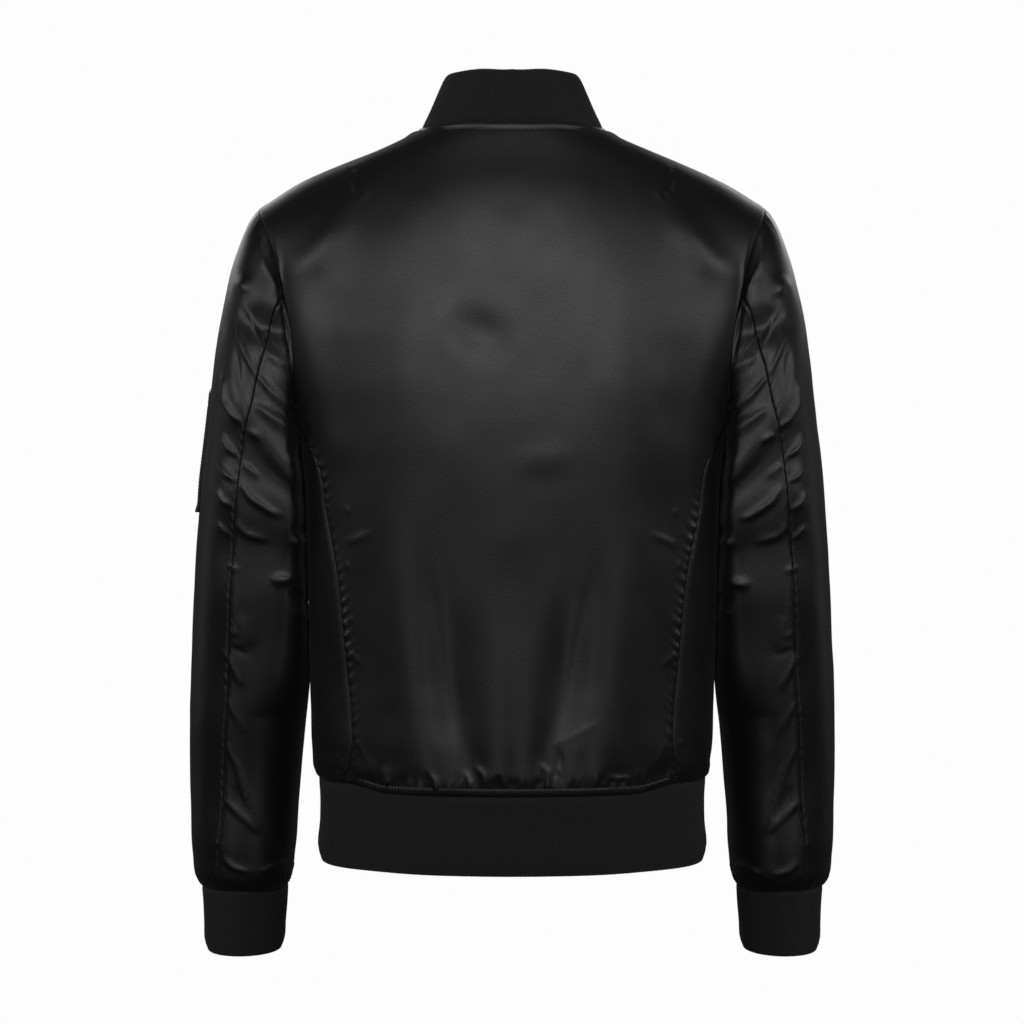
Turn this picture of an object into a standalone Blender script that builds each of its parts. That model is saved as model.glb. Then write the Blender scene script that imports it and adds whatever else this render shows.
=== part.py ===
"""Satin bomber jacket, filled out as if worn and hollow inside.

Frame: metres, +Z up. The back of the jacket faces +Y and the wearer's left is +X.
The origin is the middle of the neck opening, level with the tops of the shoulders.

Every cloth piece is a wall. Its outer surface is a grid of points whose rows run
down and whose columns run anticlockwise seen from above, and its inner surface is
the same grid moved inward by the thickness of the cloth. Pieces that are sewn
together are made with the same points along their seam and then part there.
"""

import math
from collections import namedtuple

import bmesh
import bpy
import numpy as np
from mathutils import Matrix

# ---------------------------------------------------------------- cloth and seams
SATIN_WALL = 0.0020
RIB_WALL = 0.0030
POCKET_WALL = 0.0014
SEAM_GAP = 0.0003
FOLD_TURN = 0.3  # how much a seam that is folded back on itself parts sideways
RIM_ORDER = np.array([1.0, 0.37, 0.21])  # any direction that no seam runs square to
LEVEL_DIAGONALS = 1e-5  # a cell's diagonals count as equal within this

# ---------------------------------------------------------------- neck and shoulders
NECK_HALF_WIDTH = 0.0802
NECK_SAMPLES = 400  # to find where each column meets the edge of the neck opening
NECK_BACK_DEPTH = 0.0620
NECK_FRONT_DEPTH = 0.0850
NECK_POWER = 2.3
NECK_BACK_COLUMNS = 4
NECK_FRONT_COLUMNS = 6
SHOULDER_COLUMNS = 5
SHOULDER_REACH = 0.42  # how far each end of a shoulder curve runs straight, over its chord
UPPER_STEPS = (0.0, 0.24, 0.48, 0.74, 1.0)

# The top of the shoulders, and how steeply the back and the front fall away from it.
# Its first rows lie over the neck opening, which is cut out of this form.
Ridge = namedtuple("Ridge", "x height back_pitch front_pitch")
RIDGE = (
    Ridge(0.0000, 0.0290, 13.0, 52.0),
    Ridge(0.0400, 0.0200, 6.0, 47.0),
    Ridge(0.0802, 0.0018, 2.0, 33.0),
    Ridge(0.1100, -0.0117, 3.0, 21.0),
    Ridge(0.1500, -0.0280, 6.0, 12.0),
    Ridge(0.1850, -0.0434, 8.0, 9.0),
    Ridge(0.2212, -0.0655, 8.0, 8.0),
)

# ---------------------------------------------------------------- body
YOKE_HEIGHT = -0.1500
SIDE_TOP_HEIGHT = -0.2527
UNDERARM_HEIGHT = -0.2850
HEM_SEAM_HEIGHT = -0.5700
BODY_HEIGHTS = (
    -0.1900, -0.2200, SIDE_TOP_HEIGHT, -0.2840, -0.3200, -0.3600, -0.4050,
    -0.4500, -0.4950, -0.5300, -0.5530, HEM_SEAM_HEIGHT,
)
SIDE_COLUMNS = 6
UNDERARM_FADE_ROWS = 3

Section = namedtuple("Section", "height half_width back_depth front_depth power")
BODY = (
    Section(-0.1500, 0.2150, 0.1180, 0.1080, 2.50),
    Section(-0.1900, 0.2060, 0.1230, 0.1150, 2.50),
    Section(-0.2200, 0.1978, 0.1245, 0.1180, 2.50),
    Section(-0.2527, 0.1890, 0.1250, 0.1200, 2.50),
    Section(-0.2850, 0.1838, 0.1245, 0.1210, 2.48),
    Section(-0.3050, 0.1815, 0.1235, 0.1210, 2.45),
    Section(-0.3400, 0.1800, 0.1210, 0.1205, 2.42),
    Section(-0.4300, 0.1782, 0.1150, 0.1190, 2.35),
    Section(-0.4750, 0.1772, 0.1145, 0.1190, 2.32),
    Section(-0.5000, 0.1764, 0.1145, 0.1190, 2.30),
    Section(-0.5350, 0.1755, 0.1160, 0.1195, 2.28),
    Section(-0.5550, 0.1735, 0.1135, 0.1160, 2.24),
    Section(-0.5700, 0.1695, 0.1095, 0.1105, 2.20),
)

# The outer edges of the back and of a front: the armhole, then the side seam below it.
PanelEdge = namedtuple("PanelEdge", "height back_x front_x")
PANEL_EDGES = (
    PanelEdge(-0.1500, 0.1935, 0.1880),
    PanelEdge(-0.1900, 0.1862, 0.1815),
    PanelEdge(-0.2200, 0.1837, 0.1805),
    PanelEdge(-0.2527, 0.1832, 0.1832),
    PanelEdge(-0.2760, 0.1724, 0.1745),
    PanelEdge(-0.2940, 0.1646, 0.1690),
    PanelEdge(-0.3330, 0.1583, 0.1625),
    PanelEdge(-0.3877, 0.1482, 0.1560),
    PanelEdge(-0.4534, 0.1419, 0.1515),
    PanelEdge(-0.5063, 0.1371, 0.1490),
    PanelEdge(-0.5257, 0.1362, 0.1485),
    PanelEdge(-0.5520, 0.1398, 0.1480),
    PanelEdge(-0.5700, 0.1430, 0.1475),
)

# The largest soft folds of the back: how far it stands out (+) or sinks (-) there.
Fold = namedtuple("Fold", "x height reach_x reach_height depth")
BACK_FOLDS = (
    Fold(0.105, -0.225, 0.030, 0.060, 0.0030),
    Fold(0.000, -0.200, 0.055, 0.050, -0.0020),
    Fold(0.120, -0.330, 0.022, 0.090, -0.0030),
    Fold(0.040, -0.450, 0.018, 0.080, -0.0035),
    Fold(0.000, -0.440, 0.030, 0.090, 0.0020),
    Fold(0.085, -0.500, 0.022, 0.050, 0.0020),
)

# ---------------------------------------------------------------- sleeves
# A ring runs through an outer and an inner point, and is half_depth deep each way.
SleeveRing = namedtuple(
    "SleeveRing", "along outer_x outer_z inner_x inner_z middle_y half_depth"
)
SLEEVE = (
    SleeveRing(0.000, 0.2212, -0.0655, 0.1838, -0.2850, 0.0000, 0.0680),
    SleeveRing(0.040, 0.2305, -0.0780, 0.1846, -0.2862, 0.0000, 0.0730),
    SleeveRing(0.100, 0.2405, -0.1030, 0.1850, -0.2890, -0.0010, 0.0790),
    SleeveRing(0.200, 0.2526, -0.1490, 0.1847, -0.2960, -0.0020, 0.0850),
    SleeveRing(0.340, 0.2638, -0.2241, 0.1825, -0.3120, -0.0050, 0.0875),
    SleeveRing(0.500, 0.2756, -0.3326, 0.1805, -0.3561, -0.0110, 0.0845),
    SleeveRing(0.660, 0.2830, -0.4287, 0.1795, -0.4310, -0.0210, 0.0770),
    SleeveRing(0.730, 0.2859, -0.4769, 0.1797, -0.4769, -0.0265, 0.0735),
    SleeveRing(0.800, 0.2877, -0.5230, 0.1853, -0.5230, -0.0320, 0.0700),
    SleeveRing(0.900, 0.2880, -0.5908, 0.1910, -0.5908, -0.0380, 0.0650),
    SleeveRing(0.960, 0.2864, -0.6361, 0.1947, -0.6361, -0.0410, 0.0610),
    SleeveRing(0.985, 0.2836, -0.6567, 0.1976, -0.6556, -0.0420, 0.0570),
    SleeveRing(1.000, 0.2780, -0.6659, 0.2017, -0.6659, -0.0425, 0.0500),
)
SLEEVE_STEPS = (
    0.0, 0.03, 0.07, 0.12, 0.18, 0.26, 0.34, 0.42, 0.50, 0.58,
    0.66, 0.73, 0.80, 0.86, 0.91, 0.95, 0.98, 1.0,
)
CROWN_BLEND = 0.30  # the armhole's own shape is lost by here
SIDE_CLEARANCE = 0.0013  # the sleeve hangs this close beside the body and follows its side
SIDE_CLEARANCE_START = -0.2640
BACK_SEAM_ROWS_DOWN = 4
FRONT_SEAM_ROWS_DOWN = 6

# Angles run from the outer side (0) through the back (90) and the inner side (180).
SleeveSeam = namedtuple("SleeveSeam", "along back_angle front_angle")
SLEEVE_SEAMS = (
    SleeveSeam(0.20, 93.0, 240.0),
    SleeveSeam(0.34, 92.0, 242.0),
    SleeveSeam(0.50, 84.0, 244.0),
    SleeveSeam(0.66, 77.0, 246.0),
    SleeveSeam(0.80, 75.0, 247.0),
    SleeveSeam(1.00, 66.0, 248.0),
)

SleeveFold = namedtuple("SleeveFold", "along angle reach reach_angle depth")
SLEEVE_FOLDS = (
    SleeveFold(0.30, 75.0, 0.050, 45.0, 0.0030),
    SleeveFold(0.38, 120.0, 0.040, 50.0, -0.0030),
    SleeveFold(0.46, 60.0, 0.040, 55.0, 0.0025),
    SleeveFold(0.54, 110.0, 0.045, 60.0, -0.0030),
    SleeveFold(0.62, 80.0, 0.050, 60.0, 0.0020),
    SleeveFold(0.72, 290.0, 0.060, 60.0, -0.0030),
    SleeveFold(0.87, 95.0, 0.060, 60.0, -0.0030),
)

# ---------------------------------------------------------------- pocket on the left sleeve
POCKET_FIRST_STEP, POCKET_LAST_STEP = 6, 8
POCKET_FIRST_COLUMN, POCKET_LAST_COLUMN = 3, 7
POCKET_LIP = 0.0016  # its lower edge is turned up and stands out by this much more

# ---------------------------------------------------------------- rib bands
CuffRing = namedtuple("CuffRing", "height outer_x inner_x middle_y half_depth")
CUFF = (
    CuffRing(-0.6813, 0.2768, 0.2025, -0.0430, 0.0480),
    CuffRing(-0.6998, 0.2761, 0.2041, -0.0435, 0.0470),
    CuffRing(-0.7173, 0.2752, 0.2056, -0.0440, 0.0462),
    CuffRing(-0.7249, 0.2724, 0.2085, -0.0440, 0.0435),
)

# Each row's half-widths and depths, over those of the seam that the rib hangs from.
HemRing = namedtuple("HemRing", "height width_scale depth_scale")
HEM = (
    HemRing(-0.5820, 0.9930, 0.9930),
    HemRing(-0.6050, 0.9930, 0.9930),
    HemRing(-0.6280, 1.0015, 0.9980),
    HemRing(-0.6375, 0.9820, 0.9780),
)

CollarRing = namedtuple("CollarRing", "width_scale depth_scale back_rise front_rise")
COLLAR = (
    CollarRing(0.900, 0.955, 0.0165, 0.0130),
    CollarRing(0.818, 0.905, 0.0320, 0.0250),
    CollarRing(0.748, 0.860, 0.0445, 0.0340),
    CollarRing(0.700, 0.825, 0.0490, 0.0370),
)
COLLAR_MIDDLE_Y = -0.010
COLLAR_CORNER = 0.010  # how far its front corners are rounded off
COLLAR_CORNER_REACH = 0.030

# ---------------------------------------------------------------- front zip
ZIP_OPENING = 0.0070  # from the middle to each front edge
TAPE_INNER, TAPE_OUTER = 0.0006, 0.0150
TAPE_WALL = 0.0007
TAPE_GAP = 0.0005
TAPE_STEP = 0.0040  # the tapes stand back from the thicker rib from this far above the hem
CHAIN_HALF_WIDTH = 0.0030
CHAIN_THICK = 0.0022
CHAIN_BOTTOM = -0.6190
CHAIN_TOP_ROW = 1
BOX_SIZE = (0.0090, 0.0032, 0.0082)
SLIDER_HALF_WIDTH = 0.0045
SLIDER_PLATE = 0.0014
SLIDER_LENGTH = 0.0120
SLIDER_CROWN = 0.0016  # how high it closes over the chain's end
SLIDER_FINGER_GAP = 0.0004
EAR_THICK = 0.0012
EAR_INSIDE = 0.0021
EAR_ROOT = 0.0003  # how deep the ears are sunk in the slider's face
EAR_REACH = 0.0038
EAR_HEIGHT = 0.0036
PIN_RADIUS = 0.0008
PIN_STANDOFF = 0.0026
PIN_BELOW_TOP = 0.0054
TAB_EYE_RADIUS = 0.0018
TAB_EYE_HOLE = 0.0009
TAB_EYE_HALF_WIDTH = 0.0017
TAB_THICK = 0.0014
TAB_HALF_WIDTH = 0.0034
TAB_NECK_LENGTH = 0.0060
TAB_PLATE_LENGTH = 0.0190
TAB_OVERLAP = 0.0012
TAB_ROUNDING = 0.0006
BOX_ROUNDING = 0.0005
ROUND_SEGMENTS = 20


# ================================================================ helpers
def clear_scene():
    """Takes out every object that the startup file brings."""
    for found in list(bpy.data.objects):
        bpy.data.objects.remove(found, do_unlink=True)


def finish(name, colour, roughness, metallic=0.0):
    """A plain material for one kind of piece."""
    material = bpy.data.materials.new(name)
    material.use_nodes = True
    shader = material.node_tree.nodes["Principled BSDF"]
    shader.inputs["Base Color"].default_value = (*colour, 1.0)
    shader.inputs["Roughness"].default_value = roughness
    shader.inputs["Metallic"].default_value = metallic
    material.diffuse_color = (*colour, 1.0)
    return material


def through(rows, at):
    """A table's columns as smooth curves: the first column is the place on them."""
    table = np.array(sorted(rows))
    place, values = table[:, 0], table[:, 1:]
    step = np.diff(place)[:, None]
    rise = np.diff(values, axis=0) / step
    middle = (rise[:-1] * step[1:] + rise[1:] * step[:-1]) / (step[:-1] + step[1:])
    slope = np.vstack([rise[:1], middle, rise[-1:]])
    at = np.clip(np.asarray(at, float), place[0], place[-1])
    cell = np.clip(np.searchsorted(place, at) - 1, 0, len(step) - 1)
    width = step[cell, 0][..., None]
    u = (at - place[cell])[..., None] / width
    start = values[cell] * (1 + 2 * u) * (1 - u) ** 2 + slope[cell] * width * u * (1 - u) ** 2
    end = values[cell + 1] * u**2 * (3 - 2 * u) - slope[cell + 1] * width * u**2 * (1 - u)
    return np.moveaxis(start + end, -1, 0)


def unit(vectors):
    """The vectors at length 1."""
    length = np.linalg.norm(vectors, axis=-1, keepdims=True)
    return vectors / np.maximum(length, 1e-12)


def mirrored(grid):
    """The same piece on the wearer's other side, with its columns still anticlockwise."""
    return grid[:, ::-1] * np.array([-1.0, 1.0, 1.0])


def curve_between(start, leave, end, arrive, s):
    """Cubic curves that leave their start and reach their end along given vectors."""
    s = s[..., None]
    first, second = start + leave, end - arrive
    return (
        start * (1 - s) ** 3
        + 3 * first * s * (1 - s) ** 2
        + 3 * second * s**2 * (1 - s)
        + end * s**3
    )


# ================================================================ the body's form
def fold_depth(x, height):
    """How far the back's large folds move its surface outward."""
    depth = np.zeros_like(x)
    for fold in BACK_FOLDS:
        across = (np.abs(x) - fold.x) / fold.reach_x
        down = (height - fold.height) / fold.reach_height
        depth += fold.depth * np.exp(-(across**2) - down**2)
    return depth


def body_y(x, height, side):
    """The body's surface: side is +1 for the back and -1 for the front."""
    half_width, back, front, power = through(BODY, height)
    ratio = np.clip(np.abs(x) / half_width, 0.0, 1.0)
    depth = (back if side > 0 else front) * (1 - ratio**power) ** (1 / power)
    if side > 0:
        depth = depth + fold_depth(x, height) * (1 - ratio**4)
    return side * depth


def body_side_x(y, height):
    """How far out the side of the body lies at this depth and height."""
    half_width, back, front, power = through(BODY, height)
    ratio = np.clip(np.abs(y) / np.where(y > 0, back, front), 0.0, 1.0)
    return half_width * (1 - ratio**power) ** (1 / power)


def body_at(x, height, side):
    """Points of the body's surface at these widths and heights."""
    x, height = np.broadcast_arrays(x, height)
    return np.stack([x, body_y(x, height, side), height], axis=-1)


def neck_depth(x, side):
    """How far behind (+1) or before (-1) the middle the neck opening reaches, x out from it."""
    depth = NECK_BACK_DEPTH if side > 0 else NECK_FRONT_DEPTH
    ratio = np.clip(x / NECK_HALF_WIDTH, 0, 1)
    return depth * (1 - ratio**NECK_POWER) ** (1 / NECK_POWER)


def ridge_columns(side):
    """How far out each column of a body panel starts, from the middle outward."""
    inner = 0.0 if side > 0 else ZIP_OPENING
    columns = NECK_BACK_COLUMNS if side > 0 else NECK_FRONT_COLUMNS
    turn = np.linspace(0, math.pi / 2, columns + 1)
    neck = inner + (NECK_HALF_WIDTH - inner) * (0.35 * turn / turn[-1] + 0.65 * np.sin(turn))
    return np.append(neck, np.linspace(NECK_HALF_WIDTH, RIDGE[-1].x, SHOULDER_COLUMNS + 1)[1:])


def half_panel(side):
    """The left half of the back (side +1) or the left front (side -1)."""
    inner = 0.0 if side > 0 else ZIP_OPENING
    x = ridge_columns(side)
    height, *pitches = through(RIDGE, x)
    top = np.stack([x, 0 * x, height], axis=1)
    share = (x - inner) / (RIDGE[-1].x - inner)

    def rows_at(heights):
        edges = through(PANEL_EDGES, heights)[0 if side > 0 else 1]
        return body_at(inner + (edges[:, None] - inner) * share, np.asarray(heights)[:, None], side)

    yoke, below = rows_at(np.array([YOKE_HEIGHT, YOKE_HEIGHT - 0.004]))
    chord = np.linalg.norm(yoke - top, axis=1, keepdims=True) * SHOULDER_REACH
    pitch = np.radians(pitches[0 if side > 0 else 1])
    leave = np.stack([0 * pitch, side * np.cos(pitch), -np.sin(pitch)], axis=1) * chord
    arrive = unit(below - yoke) * chord

    trial = np.linspace(0, 1, NECK_SAMPLES)
    way = curve_between(top, leave, yoke, arrive, trial[:, None])
    outside = side * way[..., 1] - neck_depth(way[..., 0], side)
    after = np.argmax(outside >= 0, axis=0)
    columns = np.arange(len(x))
    before = outside[after - 1, columns]
    part = np.where(after > 0, before / (before - outside[after, columns] + 1e-12), 0)
    start = np.where(after > 0, trial[after - 1] + part * trial[1], 0)
    steps = start + (1 - start) * np.array(UPPER_STEPS)[:, None]
    upper = curve_between(top, leave, yoke, arrive, steps)
    return np.concatenate([upper, rows_at(np.array(BODY_HEIGHTS))])


def side_panel(first_row):
    """The left side panel, from the side-front seam round to the side-back seam."""
    heights = np.array(BODY_HEIGHTS[first_row:])
    across = np.linspace(0, 1, SIDE_COLUMNS + 1)
    arch = (UNDERARM_HEIGHT - SIDE_TOP_HEIGHT) * (1 - (2 * across - 1) ** 2)
    fade = np.clip(1 - np.arange(len(heights)) / UNDERARM_FADE_ROWS, 0, 1) ** 1.3
    height = heights[:, None] + arch * fade[:, None]
    half_width, back, front, power = through(BODY, height)
    back_x, front_x = through(PANEL_EDGES, height)
    back_turn = np.arccos(np.clip(back_x / half_width, 0, 1) ** (power / 2))
    front_turn = np.arccos(np.clip(front_x / half_width, 0, 1) ** (power / 2))
    turn = -front_turn[:, :1] + (back_turn[:, -1:] + front_turn[:, :1]) * across
    depth = np.where(turn > 0, back, front)
    x = half_width * np.cos(turn) ** (2 / power)
    y = np.sign(turn) * depth * np.abs(np.sin(turn)) ** (2 / power)
    return np.stack([x, y, height], axis=-1)


# ================================================================ sleeves
def sleeve_swell(along, angle):
    """How far the sleeve's large folds move its surface outward."""
    depth = np.zeros(np.broadcast(along, angle).shape)
    for fold in SLEEVE_FOLDS:
        turned = (angle - math.radians(fold.angle) + math.pi) % (2 * math.pi) - math.pi
        around = turned / math.radians(fold.reach_angle)
        depth += fold.depth * np.exp(-(((along - fold.along) / fold.reach) ** 2) - around**2)
    return depth


def sleeve_at(along, angle):
    """Points of the left sleeve's surface."""
    along, angle = np.broadcast_arrays(along, angle)
    outer_x, outer_z, inner_x, inner_z, middle_y, half_depth = through(SLEEVE, along)
    swell = 1 + sleeve_swell(along, angle) / half_depth
    across, back = np.cos(angle) * swell, np.sin(angle) * swell
    x = (outer_x + inner_x) / 2 + (outer_x - inner_x) / 2 * across
    y = middle_y + half_depth * back
    z = (outer_z + inner_z) / 2 + (outer_z - inner_z) / 2 * across
    below = np.clip((SIDE_CLEARANCE_START - z) / (SIDE_CLEARANCE_START - UNDERARM_HEIGHT), 0, 1)
    x = np.where(below > 0, np.maximum(x, (body_side_x(y, z) + SIDE_CLEARANCE) * below), x)
    return np.stack([x, y, z], axis=-1)


def armhole_angles(armhole):
    """The angle of each point of the armhole on the sleeve's first ring."""
    _, outer_x, outer_z, inner_x, inner_z, middle_y, half_depth = SLEEVE[0]
    radius = np.array([(outer_x - inner_x) / 2, (outer_z - inner_z) / 2])
    middle = np.array([(outer_x + inner_x) / 2, (outer_z + inner_z) / 2])
    across = (armhole[:, [0, 2]] - middle) @ radius / (radius @ radius)
    back = (armhole[:, 1] - middle_y) / half_depth
    return np.unwrap(np.arctan2(back, across))


def sleeve_rings(armhole, first, second):
    """The whole left sleeve, round from its back seam, through its front seam, and back.

    The armhole is a ring of points that starts at the back seam. The columns from
    first to second are the under sleeve, and the rest are the upper sleeve.
    """
    ring = np.vstack([armhole, armhole[:1]])
    start = armhole_angles(ring)
    start[-1] = start[0] + 2 * math.pi
    along = np.array(SLEEVE_STEPS)
    back_seam, front_seam = np.radians(through(SLEEVE_SEAMS, along))
    under = np.linspace(0, 1, second - first + 1)
    upper = np.linspace(0, 1, len(ring) - second)[1:]
    even = np.hstack(
        [
            back_seam[:, None] + (front_seam - back_seam)[:, None] * under,
            front_seam[:, None] + (back_seam + 2 * math.pi - front_seam)[:, None] * upper,
        ]
    )
    settle = np.clip(along / CROWN_BLEND, 0, 1)[:, None]
    settle = settle**2 * (3 - 2 * settle)
    angles = start * (1 - settle) + even * settle
    fade = (np.clip(1 - along / CROWN_BLEND, 0, 1) ** 2)[:, None, None]
    own_shape = ring - sleeve_at(0.0, start)
    return sleeve_at(along[:, None], angles) + own_shape * fade, angles[-1]


def cuff_rings(top, angles):
    """The left cuff, hung from the sleeve's last ring."""
    rows = [top]
    for ring in CUFF:
        x = (ring.outer_x + ring.inner_x) / 2 + (ring.outer_x - ring.inner_x) / 2 * np.cos(angles)
        y = ring.middle_y + ring.half_depth * np.sin(angles)
        rows.append(np.stack([x, y, np.full_like(x, ring.height)], axis=-1))
    return np.stack(rows)


# ================================================================ rib bands
def widened(x, scale):
    """x scaled away from the zip, whose opening keeps its width."""
    return np.sign(x) * (ZIP_OPENING + (np.abs(x) - ZIP_OPENING) * scale)


def hem_rows(seam):
    """The rib hem, hung from the body's lower edge."""
    rows = [seam]
    for ring in HEM:
        x = np.where(np.abs(seam[:, 0]) < ZIP_OPENING, seam[:, 0], widened(seam[:, 0], ring.width_scale))
        y = seam[:, 1] * ring.depth_scale
        rows.append(np.stack([x, y, np.full_like(x, ring.height)], axis=-1))
    return np.stack(rows)


def collar_rows(seam):
    """The rib collar, standing on the neck seam, top row first."""
    x, y, z = seam.T
    frontness = np.clip(-y / NECK_FRONT_DEPTH, 0, 1) ** 1.5
    from_zip = np.where(y < 0, np.clip((np.abs(x) - ZIP_OPENING) / COLLAR_CORNER_REACH, 0, 1), 1)
    rows = [seam]
    for ring in COLLAR:
        rise = ring.back_rise + (ring.front_rise - ring.back_rise) * frontness
        corner = COLLAR_CORNER * (1 - from_zip) ** 2 * rise / COLLAR[-1].front_rise
        in_front = y < 0
        wide = np.where(in_front & (np.abs(x) > 0), widened(x, ring.width_scale), x * ring.width_scale)
        share = np.clip(-y / 0.03, 0, 1)
        wide = wide * share + x * ring.width_scale * (1 - share)
        deep = COLLAR_MIDDLE_Y + (y - COLLAR_MIDDLE_Y) * ring.depth_scale
        rows.append(np.stack([wide, deep, z + rise - corner], axis=-1))
    return np.stack(rows[::-1])


# ================================================================ from grids to walls
class Panel:
    """One piece of cloth: its outer grid, its wall and its material."""

    def __init__(self, name, grid, wall, material, is_round=False):
        self.name = name
        self.grid = grid[:, :-1] if is_round else grid
        self.wall = wall
        self.material = material
        self.is_round = is_round
        self.outer = self.grid.copy()
        self.normals = self.own_normals()
        self.inner = None

    def own_normals(self):
        """Unit vectors out of the cloth."""
        if self.is_round:
            wrapped = np.concatenate([self.grid[:, -1:], self.grid, self.grid[:, :1]], axis=1)
            round_it = np.gradient(wrapped, axis=1)[:, 1:-1]
        else:
            round_it = np.gradient(self.grid, axis=1)
        down = np.gradient(self.grid, axis=0)
        return unit(np.cross(down, round_it))

    def inward_at_edge(self, row, column):
        """The way into the piece from a point on its edge, square to the edge."""
        rows, columns = self.grid.shape[:2]
        here = self.grid[row, column]
        inward = np.zeros(3)
        if row in (0, rows - 1):
            step = self.grid[1 if row == 0 else rows - 2, column] - here
            before = (column - 1) % columns if self.is_round else max(column - 1, 0)
            after = (column + 1) % columns if self.is_round else min(column + 1, columns - 1)
            inward += square_to(step, self.grid[row, after] - self.grid[row, before])
        if column in (0, columns - 1) and not self.is_round:
            step = self.grid[row, 1 if column == 0 else columns - 2] - here
            edge = self.grid[min(row + 1, rows - 1), column] - self.grid[max(row - 1, 0), column]
            inward += square_to(step, edge)
        return unit(inward)

    def edge_places(self):
        """Row and column of each point on the piece's edge."""
        rows, columns = self.grid.shape[:2]
        for row in range(rows):
            for column in range(columns):
                at_side = column in (0, columns - 1) and not self.is_round
                if row in (0, rows - 1) or at_side:
                    yield row, column


def square_to(step, edge):
    """The part of a step that is square to an edge, at length 1."""
    edge = unit(edge)
    return unit(step - edge * (step @ edge))


def part_seams(panels):
    """Gives pieces that share a seam one common direction there, and parts them by the gap."""
    meetings = {}
    for panel in panels:
        for row, column in panel.edge_places():
            key = tuple(np.round(panel.grid[row, column] * 2e4).astype(int))
            meetings.setdefault(key, []).append((panel, row, column))
    for met in meetings.values():
        if len(met) < 2:
            continue
        normals = np.array([panel.normals[row, column] for panel, row, column in met])
        inward = np.array([panel.inward_at_edge(row, column) for panel, row, column in met])
        shared = unit(normals.sum(axis=0))
        moves = []
        for own in range(len(met)):
            others = [k for k in range(len(met)) if k != own]
            away = inward[own] - inward[others].mean(axis=0)
            apart = normals[others].mean(axis=0) - normals[own]
            moves.append(unit(away + FOLD_TURN * apart) * SEAM_GAP / 2)
        for (panel, row, column), normal, move in zip(met, normals, moves):
            panel.outer[row, column] += move
            if normal @ shared > 0.35:
                panel.normals[row, column] = shared
    for panel in panels:
        panel.inner = panel.outer - panel.normals * panel.wall


def grid_faces(outer, first, is_round, flip):
    """Two triangles for each cell of a grid, split along the cell's shorter diagonal."""
    rows, columns = outer.shape[:2]
    row, column = np.meshgrid(
        np.arange(rows - 1), np.arange(columns if is_round else columns - 1), indexing="ij"
    )
    after = (column + 1) % columns
    corner = [row * columns + column, (row + 1) * columns + column]
    corner += [(row + 1) * columns + after, row * columns + after]
    a, b, c, d = (each.ravel() for each in corner)
    points = outer.reshape(-1, 3)
    one_way = np.linalg.norm(points[a] - points[c], axis=1)
    other_way = np.linalg.norm(points[b] - points[d], axis=1)
    straight = (one_way < other_way + LEVEL_DIAGONALS)[:, None]
    upper = np.where(straight, np.stack([a, b, c], 1), np.stack([a, b, d], 1))
    lower = np.where(straight, np.stack([a, c, d], 1), np.stack([b, c, d], 1))
    faces = np.concatenate([upper, lower]) + first
    return faces[:, ::-1] if flip else faces


def rim_loops(rows, columns, is_round):
    """The edge of a grid as loops of point numbers, in the direction of its faces."""
    number = np.arange(rows * columns).reshape(rows, columns)
    if is_round:
        return [np.append(number[-1], number[-1, 0]), np.append(number[0], number[0, 0])[::-1]]
    down, along = number[:, 0], number[-1, 1:]
    up, back = number[-2::-1, -1], number[0, -2::-1]
    return [np.concatenate([down, along, up, back])]


def rim_faces(points, this, following, count):
    """Two triangles for each step of an edge, split the same way on both sides of a seam."""
    place = points @ RIM_ORDER
    falls = place[this] > place[following]
    near = np.where(falls, this, following)
    first = np.stack([following, this, near + count], 1)
    second = np.where(
        falls[:, None],
        np.stack([following, this + count, following + count], 1),
        np.stack([this, this + count, following + count], 1),
    )
    return np.concatenate([first, second])


def wall_object(name, outer, inner, material, is_round=False):
    """One closed body from an outer and an inner grid."""
    rows, columns = outer.shape[:2]
    count = rows * columns
    faces = [grid_faces(outer, 0, is_round, False), grid_faces(outer, count, is_round, True)]
    points = np.concatenate([outer.reshape(-1, 3), inner.reshape(-1, 3)])
    for loop in rim_loops(rows, columns, is_round):
        faces.append(rim_faces(points, loop[:-1], loop[1:], count))
    mesh = bpy.data.meshes.new(name)
    mesh.from_pydata(points.tolist(), [], np.concatenate(faces).tolist())
    mesh.shade_smooth()
    mesh.set_sharp_from_angle(angle=math.radians(50))
    mesh.materials.append(material)
    piece = bpy.data.objects.new(name, mesh)
    bpy.context.scene.collection.objects.link(piece)
    return piece


# ================================================================ hard pieces of the zip
def box_mesh(name, size, middle=(0.0, 0.0, 0.0)):
    """A box of this size round this middle."""
    shape = bmesh.new()
    bmesh.ops.create_cube(shape, size=1.0)
    bmesh.ops.scale(shape, vec=size, verts=shape.verts)
    bmesh.ops.translate(shape, vec=middle, verts=shape.verts)
    return mesh_of(name, shape)


def rod_mesh(name, radius, half_length, middle=(0.0, 0.0, 0.0)):
    """A round bar along X."""
    shape = bmesh.new()
    bmesh.ops.create_cone(
        shape, cap_ends=True, segments=ROUND_SEGMENTS,
        radius1=radius, radius2=radius, depth=2 * half_length,
    )
    bmesh.ops.rotate(shape, matrix=Matrix.Rotation(math.pi / 2, 3, "Y"), verts=shape.verts)
    bmesh.ops.translate(shape, vec=middle, verts=shape.verts)
    return mesh_of(name, shape)


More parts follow.
